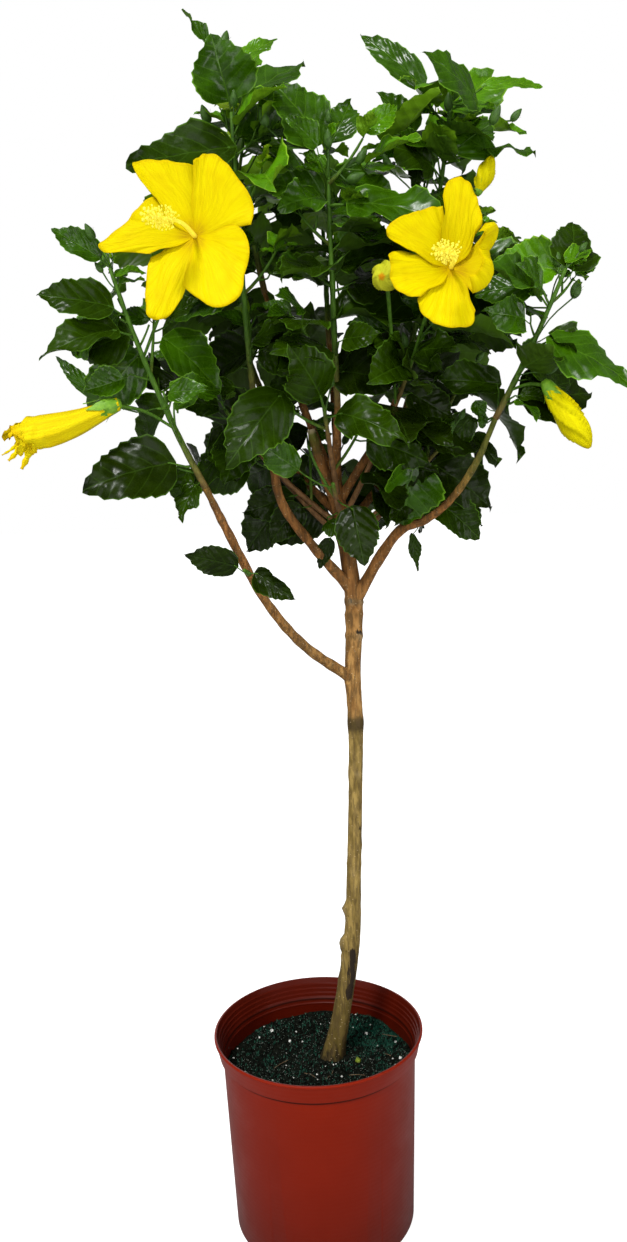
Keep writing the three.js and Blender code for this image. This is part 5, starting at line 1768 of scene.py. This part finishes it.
petalPlan = {
    "rows": 26, "columns": 28, "thick": 0.4, "flare": 0.43, "recurve": 0.17, "recurveOver": 80,
    "clawSpread": 48, "crease": 0.5, "creases": 27, "reach": 0.96, "claw": 0.02, "ruffles": 5.5,
    "frill": 1.3, "frills": 17,
    # One petal: its margin as angle round the throat and distance from it, how far its two side
    # edges stand before or behind the next petals, how ruffled it is, and how far it rolls over.
    "blooms": [[
        {"margin": [(2, 57), (17, 63), (45, 65), (60, 70), (72, 73), (79, 70), (85, 62)],
         "edges": (-2.5, 3), "ruffle": 2.5, "roll": 0},
        {"margin": [(82, 62), (95, 63), (108, 69), (120, 78), (129, 84), (133, 73), (136, 50)],
         "edges": (-2.5, 3), "ruffle": 2.0, "roll": 0},
        {"margin": [(136, 50), (155, 57), (168, 63), (180, 77), (187, 90), (192, 86), (197, 60), (206, 46)],
         "edges": (-3, 4), "ruffle": 3.0, "roll": 0},
        {"margin": [(206, 47), (222, 62), (235, 80), (242, 92), (249, 90), (256, 76), (262, 54)],
         "edges": (-5, -4), "ruffle": 2.5, "roll": 0},
        {"margin": [(-100, 54), (-86, 66), (-76, 78), (-65, 82), (-52, 77), (-42, 67), (-26, 62), (-8, 52),
                    (6, 40)],
         "edges": (5, 2), "ruffle": 3.0, "roll": 0},
    ], [
        {"margin": [(51, 46), (63, 58), (72, 69), (79, 77), (87, 79), (94, 75), (100, 62)],
         "edges": (-2, 4), "ruffle": 2.0, "roll": 0},
        {"margin": [(100, 55), (112, 58), (126, 60), (141, 68), (154, 74), (160, 68), (165, 48)],
         "edges": (-3, 2), "ruffle": 3.0, "roll": 0},
        {"margin": [(163, 50), (173, 66), (182, 64), (191, 66), (201, 65), (212, 60), (223, 48)],
         "edges": (-5, 4), "ruffle": 4.5, "roll": 0},
        {"margin": [(221, 50), (231, 58), (243, 61), (256, 63), (270, 63), (283, 62), (291, 50)],
         "edges": (-3, 4), "ruffle": 2.5, "roll": 0},
        {"margin": [(-64, 34), (-40, 38), (-18, 38), (6, 34), (26, 36), (39, 50), (50, 44)],
         "edges": (-3, -3), "ruffle": 4.0, "roll": 0.62},
    ]],
}


def petalPoints(petal, seed):
    # X to the flower's right, Y up and Z forward of the flower's throat, in mm
    p = petalPlan
    rows, columns = p["rows"], p["columns"]
    margin = [Vector((angle, reach, 0)) for angle, reach in petal["margin"]]
    middle = (margin[0].x + margin[-1].x) / 2
    rim = [pathPoint(margin, k / columns) for k in range(columns + 1)]
    points, uvs = [], []
    for i in range(rows + 1):
        u = mix(p["claw"], 1, i / rows)
        for k in range(columns + 1):
            t = 2 * k / columns - 1
            angle = mix(middle + t * p["clawSpread"], rim[k].x, smooth(0.3, 0.8, u))
            reach = rim[k].y * p["reach"]
            out = reach * u
            z = p["flare"] * out - p["recurve"] * out * out / p["recurveOver"]
            if petal["roll"]:
                turn = math.pi * u * (1 + petal["roll"]) * 0.5
                out, z = reach * math.sin(turn), z * 0.4 + reach * 0.5 * (1 - math.cos(turn))
            z += mix(*petal["edges"], (t + 1) / 2) * smooth(0.1, 0.55, u) * abs(t) ** 1.5
            z += petal["ruffle"] * u ** 3 * math.sin(p["ruffles"] * t + 2.1 * seed) * mix(0.3, 1, abs(t))
            z += p["frill"] * u ** 6 * math.sin(p["frills"] * t + 3.7 * seed)
            z += p["crease"] * smooth(0.15, 0.6, u) * math.sin(p["creases"] * t + seed + 2 * u)
            turn = math.radians(angle)
            points.append((out * math.cos(turn), out * math.sin(turn), z))
            uvs.append((u, 0.5 + 0.5 * t))
    return np.array(points), uvs


def addPetals(batch, flower, number):
    face, centre, base, right = flowerFrame(flower)
    faces = gridFaces(petalPlan["rows"], petalPlan["columns"])
    axes = np.array([right, face.cross(right), face])
    for k, petal in enumerate(petalPlan["blooms"][number]):
        local, uvs = petalPoints(petal, 5 * number + k + 1)
        addShape(batch, np.array(base) + local @ axes, faces, 0, {"petal": uvs})


def addTube(batch, path, radiusAt, sides, steps):
    addShape(batch, *tubeShape(path, radiusAt, sides, steps)[:2])


def addBall(batch, centre, radius):
    # a bead with two rings of five corners between its poles
    points = [centre + upward * radius]
    for climb, offset in ((35, 0), (-35, 36)):
        points += [centre + toward(72 * k + offset, climb) * radius for k in range(5)]
    points.append(centre - upward * radius)
    faces = []
    for k in range(5):
        j = (k + 1) % 5
        faces += [(0, 1 + k, 1 + j), (1 + k, 6 + k, 1 + j), (1 + j, 6 + k, 6 + j), (11, 6 + j, 6 + k)]
    addShape(batch, points, faces)


columnPlan = {
    "bow": 0.22, "thick": (2.3, 1.1), "filaments": 104, "from": 0.6, "reaches": (11, 5),
    "reachEnds": (1.1, 0.85), "leans": (0.1, 0.6), "filamentBow": 0.8, "filament": (0.28, 0.2),
    "anthers": (0.8, 1.15), "pads": 5, "padLean": 0.8, "padReach": 7.5, "padStalk": (0.5, 0.4), "pad": 1.7,
}


def addColumn(batch, flower, number):
    # the staminal column, its filaments and anthers, and the stigma pads at its end
    p = columnPlan
    face, centre, base, right = flowerFrame(flower)
    way = columnWay(flower)
    end = centre + way * blossomPlan["column"]
    path = [base, centre + (way + face) * (blossomPlan["column"] * p["bow"]), end]
    addTube(batch, path, tapered(*p["thick"]), 10, 14)
    stretch = 1 - p["from"]
    for i in range(p["filaments"]):
        share = p["from"] + stretch * i / (p["filaments"] - 1)
        root, axis = pathPoint(path, share), pathTangent(path, share)
        spoke = spokeAt(axis, i * goldenAngle)
        reach = drawBetween(p["reaches"], number, i, 61) * mix(*p["reachEnds"], (share - p["from"]) / stretch)
        tip = root + (spoke + axis * drawBetween(p["leans"], number, i, 62)).normalized() * reach
        bow = root.lerp(tip, 0.5) + axis * p["filamentBow"]
        addTube(batch, [root, bow, tip], tapered(*p["filament"]), 3, 3)
        addBall(batch, tip, drawBetween(p["anthers"], number, i, 63))
    axis = pathTangent(path, 1)
    for k in range(p["pads"]):
        tip = end + (axis + spokeAt(axis, 360 / p["pads"] * k) * p["padLean"]).normalized() * p["padReach"]
        addTube(batch, [end, end.lerp(tip, 0.5) + axis, tip], tapered(*p["padStalk"]), 4, 3)
        addBall(batch, tip, p["pad"])


def addLobes(batch, base, axis, count, radius, length, width, lean):
    # pointed sepals or bracts round an axis: they rise from a ring and lean in or out
    rows = 6
    for k in range(count):
        spoke = spokeAt(axis, 360 * k / count)
        side = axis.cross(spoke)
        points = []
        for i in range(rows + 1):
            u = i / rows
            half = width * (1 - u) ** 0.7 * mix(0.75, 1, math.sin(math.pi * min(1, u * 1.6)))
            at = base + axis * (length * u) + spoke * (radius + length * lean * u * u)
            bulge = spoke * (width * 0.18)
            points += [at - side * half, at + bulge, at + side * half]
        addShape(batch, points, gridFaces(rows, 2))


# How far up a cup its swell, its sepals and its bracts start and reach, as shares of its length and
# radius: start, ring, length, width, lean.
calyxPlan = {"cup": 0.55, "swell": (0.28, 1.0), "sepals": (0.5, 0.96, 0.55, 0.62, 0.05),
             "bracts": (0.06, 0.5, 0.55, 0.14, 0.55)}


def addCalyx(batch, base, axis, radius, length):
    # a closed cup, five sepals on its edge and a ring of narrow bracts under it
    p = calyxPlan

    def swell(share):
        return radius * math.sin(math.pi / 2 * mix(*p["swell"], share ** 0.7))

    addTube(batch, [base, base + axis * (length * p["cup"])], swell, 12, 6)
    for kind, count in (("sepals", 5), ("bracts", 7)):
        start, ring, long, wide, lean = p[kind]
        addLobes(batch, base + axis * (length * start), axis, count, radius * ring, length * long,
                 radius * wide, lean)


def closedEnds(flower):
    # the round bud looks out of the crown, across the stalk
    shift = Vector(flower.get("shift", (0, 0, 0)))
    start, end = Vector(flower["base"]) + shift, Vector(flower["tip"]) + shift
    if flower["kind"] == "round":
        middle, way = start.lerp(end, 0.5), toward(*flower["looks"])
        start, end = middle - way * flower["radius"], middle + way * flower["radius"]
    return start, end, (end - start).normalized()


# the cups under closed flowers: how far behind the base, and how long, by the flower's radius
closedPlan = {"back": 3, "roundBack": 1, "cups": (14, 34), "largest": 15, "roundCup": 11,
              "cupRadius": 0.62}
# the spindle of petals: how it swells from base to tip, its spiral ridges, and what wilting changes
furledPlan = {
    "steps": 40, "sides": 40, "start": 0.4, "tip": 0.12, "roundTip": 0.06, "ridge": 0.3, "petals": 5,
    "spiral": 1.3, "freshSpiral": 1.6, "map": 0.35, "wiltedSwell": (0.42, 1.05), "wiltedEnd": 0.7,
    "wiltedRidges": (0.05, 0.035), "crumple": 0.2, "sag": 0.05,
}


def furledSwell(flower, share):
    p, kind = furledPlan, flower["kind"]
    if kind == "round":
        return max(p["roundTip"], math.sin(math.pi * share) ** 0.7)
    if kind == "wilted":
        end = mix(1, p["wiltedEnd"], smooth(0.82, 1, share))
        return mix(*p["wiltedSwell"], smooth(-0.1, 0.75, share)) * end
    widest = flower["widest"]
    if share < widest:
        return mix(p["start"], 1.0, math.sin(share / widest * math.pi / 2))
    return mix(p["tip"], 1.0, math.sin((1 - share) / (1 - widest) * math.pi / 2) ** 0.8)


def furledRidge(wilted, share, angle):
    p = furledPlan
    if wilted:
        fine, finer = p["wiltedRidges"]
        ridge = fine * math.sin(7 * angle + 3 * share) + finer * math.sin(16 * angle - 6 * share)
        folds = math.sin(4 * angle + 17 * share) * math.cos(31 * share + angle)
        return ridge + p["crumple"] * smooth(0.62, 1, share) * folds
    spiral = p["spiral"] * share * p["freshSpiral"]
    turn = (p["petals"] * angle / (2 * math.pi) + spiral) % 1
    return p["ridge"] * (turn - 0.5) * smooth(0.02, 0.2, share)


def addFurled(batch, flower):
    # petals rolled round each other: spiral ridges along a spindle
    p = furledPlan
    start, end, axis = closedEnds(flower)
    across = spokeOf(axis, upward, rightward)
    over = axis.cross(across)
    wilted = flower["kind"] == "wilted"
    length = (end - start).length
    points, uvs = [], []
    for i in range(p["steps"] + 1):
        share = i / p["steps"]
        middle = start + axis * (length * share)
        if wilted:
            middle -= upward * (length * p["sag"] * math.sin(math.pi * share))
        for k in range(p["sides"]):
            angle = 2 * math.pi * k / p["sides"]
            radius = flower["radius"] * furledSwell(flower, share) * (1 + furledRidge(wilted, share, angle))
            points.append(middle + across * (radius * math.cos(angle)) + over * (radius * math.sin(angle)))
            uvs.append((mix(p["map"], 1, share), k / p["sides"]))
    addShape(batch, points, tubeFaces(p["sides"], p["steps"]), 0, {"petal": uvs})


ragPlan = {
    "rags": 15, "turn": 24, "turnVaries": 20, "backs": (24, 8), "out": 0.75, "lengths": (10, 22),
    "ahead": (0.5, 1), "aside": (-0.3, 0.35), "hang": 0.3, "rows": 8, "columns": 6, "widths": (4.5, 6),
    "curl": 1.7,
    # tails: how far they run on, how far they hang, back from the tip, length, thickness
    "tails": [(0.45, 1, 16, 26, 5.5), (1, 0.4, 3, 17, 2.2), (0.8, 0.7, 8, 20, 4.5)],
    "tailDown": 0.4, "tailBow": 0.55, "tailSway": 2, "tailEnd": 0.3, "tailBeads": (0.25, 19),
}


def addRags(batch, flower):
    # the shrivelled margins and tails that hang out of the wilted bloom's end
    p = ragPlan
    start, end, axis = closedEnds(flower)
    for k in range(p["rags"]):
        spoke = spokeAt(axis, p["turn"] * k + p["turnVaries"] * draw(k, 1, 71))
        root = end - axis * drawBetween(p["backs"], k, 2, 71) + spoke * (flower["radius"] * p["out"])
        length = drawBetween(p["lengths"], k, 3, 71)
        ahead, aside = drawBetween(p["ahead"], k, 5, 71), drawBetween(p["aside"], k, 4, 71)
        way = (axis * ahead + spoke * aside - upward * p["hang"]).normalized()
        side = way.cross(spoke).normalized()
        points, uvs = [], []
        for i in range(p["rows"] + 1):
            u = i / p["rows"]
            for c in range(p["columns"] + 1):
                v = 2 * c / p["columns"] - 1
                curl = (math.sin(u * 9 + v * 4 + k) + math.sin(7 * v + 2 * k)) * p["curl"] * u
                at = root + way * (length * u * (1 - 0.3 * v * v)) + side * (v * mix(*p["widths"], u))
                points.append(at + spoke * curl)
                uvs.append((mix(0.8, 1, u), 0.5 + v / 4))
        addShape(batch, points, gridFaces(p["rows"], p["columns"]), 0, {"petal": uvs})
    depth, beads = p["tailBeads"]
    for ahead, hang, back, long, wide in p["tails"]:
        way = axis * ahead - upward * hang
        root = end - axis * back - upward * (flower["radius"] * p["tailDown"])
        path = [root, root + way * (long * p["tailBow"]) + rightward * p["tailSway"], root + way * long]

        def radiusAt(share):
            return wide * mix(1, p["tailEnd"], share) * (1 + depth * math.sin(beads * share))

        points, faces, shares = tubeShape(path, radiusAt, 9, 12)
        addShape(batch, points, faces, 0, {"petal": [(mix(0.85, 1, u), 0.3 + 0.4 * u) for u in shares]})


def addStalkOf(batch, flower):
    points, faces, shares = tubeShape(flower["stalk"], tapered(*blossomPlan["stalkEnds"]), 8, 14)
    addShape(batch, points, faces, 1, values={"age": [0.0] * len(points)})


def makeOpenFlower(flower, number):
    petals, green, pollen = newBatch("petal"), newBatch(), newBatch()
    addPetals(petals, flower, number)
    addColumn(pollen, flower, number)
    face, centre, base, right = flowerFrame(flower)
    foot = base - face * (blossomPlan["calyx"] + 1)
    addCalyx(green, foot, face, blossomPlan["calyxRadius"], blossomPlan["calyx"])
    addStalkOf(green, flower)
    label = str(number + 1)
    piece = makePiece("petals_" + label, petals, [petalYellow])
    applyModifier(piece, "SOLIDIFY", thickness=petalPlan["thick"] * mm, offset=0)
    makePiece("stamens_" + label, pollen, [grainy["pollenYellow"]])
    makePiece("calyx_" + label, green, [grainy["calyxGreen"], twigSkin])


def makeClosedFlowers():
    p, green = closedPlan, newBatch()
    batches = {kind: newBatch("petal") for kind in ("wilted", "furled", "round")}
    for flower in closedFlowers:
        start, end, axis = closedEnds(flower)
        addFurled(batches[flower["kind"]], flower)
        if flower["kind"] == "wilted":
            addRags(batches["wilted"], flower)
        back, cup = p["back"], mix(*p["cups"], flower["radius"] / p["largest"])
        if flower["kind"] == "round":
            back, cup = p["roundBack"], p["roundCup"]
        addCalyx(green, start - axis * back, axis, flower["radius"] * p["cupRadius"], cup)
        addStalkOf(green, flower)
    makePiece("wilted_bloom", batches["wilted"], [petalFaded])
    makePiece("furled_buds", batches["furled"], [petalFurled])
    makePiece("round_bud", batches["round"], [budLemon])
    makePiece("closed_calyx", green, [grainy["calyxGreen"], twigSkin])


# Green buds on thin stalks at the ends of the stems.
budPlan = {
    "stalks": (18, 34), "lengths": (11, 18), "perStem": 2, "key": 900, "spacing": 0.1,
    "bare": ("low_left", "low_right", "low_front"), "bow": 0.06, "thick": (0.7, 0.9), "radius": 0.27,
    "swell": (0.12, 0.97), "bracts": 7, "rise": 0.9, "aside": 0.7, "stemRise": 0.5,
    # buds on long stalks of their own: stem, share of it, tip of the stalk, length of the bud
    "placed": [
        ("right", 0.3, (258, -120, 1002), 24), ("right", 0.45, (304, -60, 1086), 22),
        ("right", 0.75, (290, -60, 1112), 19), ("centre_up", 0.8, (-13, -110, 1251), 20),
        ("top_left", 0.7, (-74, -60, 1274), 20), ("centre_up", 0.95, (64, -110, 1197), 19),
        ("centre_up", 0.9, (75, -110, 1214), 17), ("top_right", 0.6, (110, -80, 1216), 16),
        ("top_right", 0.8, (213, -90, 1253), 19), ("top_right", 0.9, (240, -60, 1266), 15),
    ],
}


def addBud(batch, root, tip, way, length):
    p, radius = budPlan, length * budPlan["radius"]
    bow = root.lerp(tip, 0.5) + squareTo(way, (tip - root).normalized()) * (p["bow"] * (tip - root).length)

    def swell(share):
        return radius * math.sin(math.pi * mix(*p["swell"], share ** 0.8)) ** 0.8

    addTube(batch, [root, bow, tip], tapered(*p["thick"]), 5, 6)
    addTube(batch, [tip, tip + way * length], swell, 10, 9)
    addLobes(batch, tip, way, p["bracts"], radius * 0.5, length * 0.62, radius * 0.2, 0.35)


def makeGreenBuds():
    p, batch = budPlan, newBatch()
    for on, share, tip, length in p["placed"]:
        tip, root = Vector(tip), pathPoint(stemPaths[massNumber(on)], share)
        way = ((tip - root).normalized() + upward * p["rise"]).normalized()
        addBud(batch, root, tip, way, length)
    for mass, path in enumerate(stemPaths):
        if masses[mass]["name"] in p["bare"]:
            continue
        for k in range(p["perStem"]):
            seed = p["key"] + k
            axis = pathTangent(path, 1)
            spoke = spokeAt(axis, 360 * draw(mass, seed, 81))
            way = (axis + spoke * p["aside"] + upward * p["stemRise"]).normalized()
            root = pathPoint(path, 1 - p["spacing"] * k)
            tip = root + way * drawBetween(p["stalks"], mass, seed, 82)
            if not hidesFlower(tip):
                addBud(batch, root, tip, way, drawBetween(p["lengths"], mass, seed, 83))
    makePiece("green_buds", batch, [grainy["budGreen"]])


for number, flower in enumerate(openFlowers):
    makeOpenFlower(flower, number)
makeClosedFlowers()
makeGreenBuds()
print("blossom made")


studio = {
    "floorSize": 60, "floorTone": 0.45, "floorGlow": 0.9, "sunStrength": 2.7, "sunWay": (-0.35, -0.7, 0.9),
    "sunSoft": 12, "worldLight": 0.16, "lookAt": (0, 0, 0.7),
    # light boxes: name, place, width and height, power
    "boxes": [("leftBox", (-1.5, -1.0, 0.9), (0.5, 1.8), 9), ("rightBox", (1.5, -1.0, 0.7), (0.5, 1.8), 13.5),
              ("frontBox", (0.2, -2.3, 1.3), (1.6, 1.6), 22), ("backBox", (-0.4, 2.3, 1.1), (1.6, 1.6), 16)],
}
camera = {
    # a lens of 1000 pixels on the 1242 pixel side, 1.153 m in front of the pot's axis
    "long": 1242, "focal": 1000, "sensor": 36, "place": eye * mm, "pitch": 7.25, "yaw": 0.71,
    "roll": -2.32,
}


def makeCamera():
    pitch, yaw, roll = (math.radians(camera[k]) for k in ("pitch", "yaw", "roll"))
    ahead = Vector((math.sin(yaw) * math.cos(pitch), math.cos(yaw) * math.cos(pitch), -math.sin(pitch)))
    level = Vector((math.cos(yaw), -math.sin(yaw), 0))
    over = level.cross(ahead)
    right = level * math.cos(roll) + over * math.sin(roll)
    up = over * math.cos(roll) - level * math.sin(roll)
    data = bpy.data.cameras.new("camera")
    data.sensor_width = camera["sensor"]
    data.lens = camera["sensor"] * camera["focal"] / camera["long"]
    data.clip_start, data.clip_end = 0.05, 200
    seen = newObject("camera", data)
    facing = Matrix((right, up, -ahead)).transposed().to_4x4()
    seen.matrix_world = Matrix.Translation(camera["place"]) @ facing
    bpy.context.scene.camera = seen


def facingAway(way):
    # lamps shine down their own Z axis
    return way.to_track_quat("Z", "Y").to_euler()


def makeLights():
    sun = bpy.data.lights.new("softSun", "SUN")
    sun.energy = studio["sunStrength"]
    sun.angle = math.radians(studio["sunSoft"])
    newObject("softSun", sun).rotation_euler = facingAway(Vector(studio["sunWay"]))
    for name, place, size, power in studio["boxes"]:
        box = bpy.data.lights.new(name, "AREA")
        box.shape = "RECTANGLE"
        box.size, box.size_y = size
        box.energy = power
        lamp = newObject(name, box)
        lamp.location = place
        lamp.rotation_euler = facingAway(lamp.location - Vector(studio["lookAt"]))
    world = bpy.data.worlds.new("paleStudio")
    world.use_nodes = True
    tree = world.node_tree
    back = tree.nodes["Background"]
    back.inputs["Color"].default_value = colour(1, 1, 1)
    seen = addNode(tree, "ShaderNodeLightPath").outputs["Is Camera Ray"]
    tree.links.new(ramp(tree, seen, 0, 1, studio["worldLight"], 1.0), back.inputs["Strength"])
    bpy.context.scene.world = world
    bpy.context.scene.view_settings.view_transform = "Standard"


def makeFloor():
    bpy.ops.object.select_all(action="DESELECT")
    bpy.ops.mesh.primitive_plane_add(size=studio["floorSize"], location=(0, 0, 0))
    floor = bpy.context.object
    tone, glow = studio["floorTone"], studio["floorGlow"]
    material, tree, shader = newMaterial("paleFloor", {
        "Base Color": colour(tone, tone, tone), "Roughness": 0.95, "Emission Strength": 1.0})
    seen = addNode(tree, "ShaderNodeLightPath").outputs["Is Camera Ray"]
    connect(tree, shader, Emission_Color=blendColour(tree, seen, colour(0, 0, 0), colour(glow, glow, glow)))
    dress(floor, "pale_floor", material)


makeCamera()
makeLights()
makeFloor()
print("studio made")
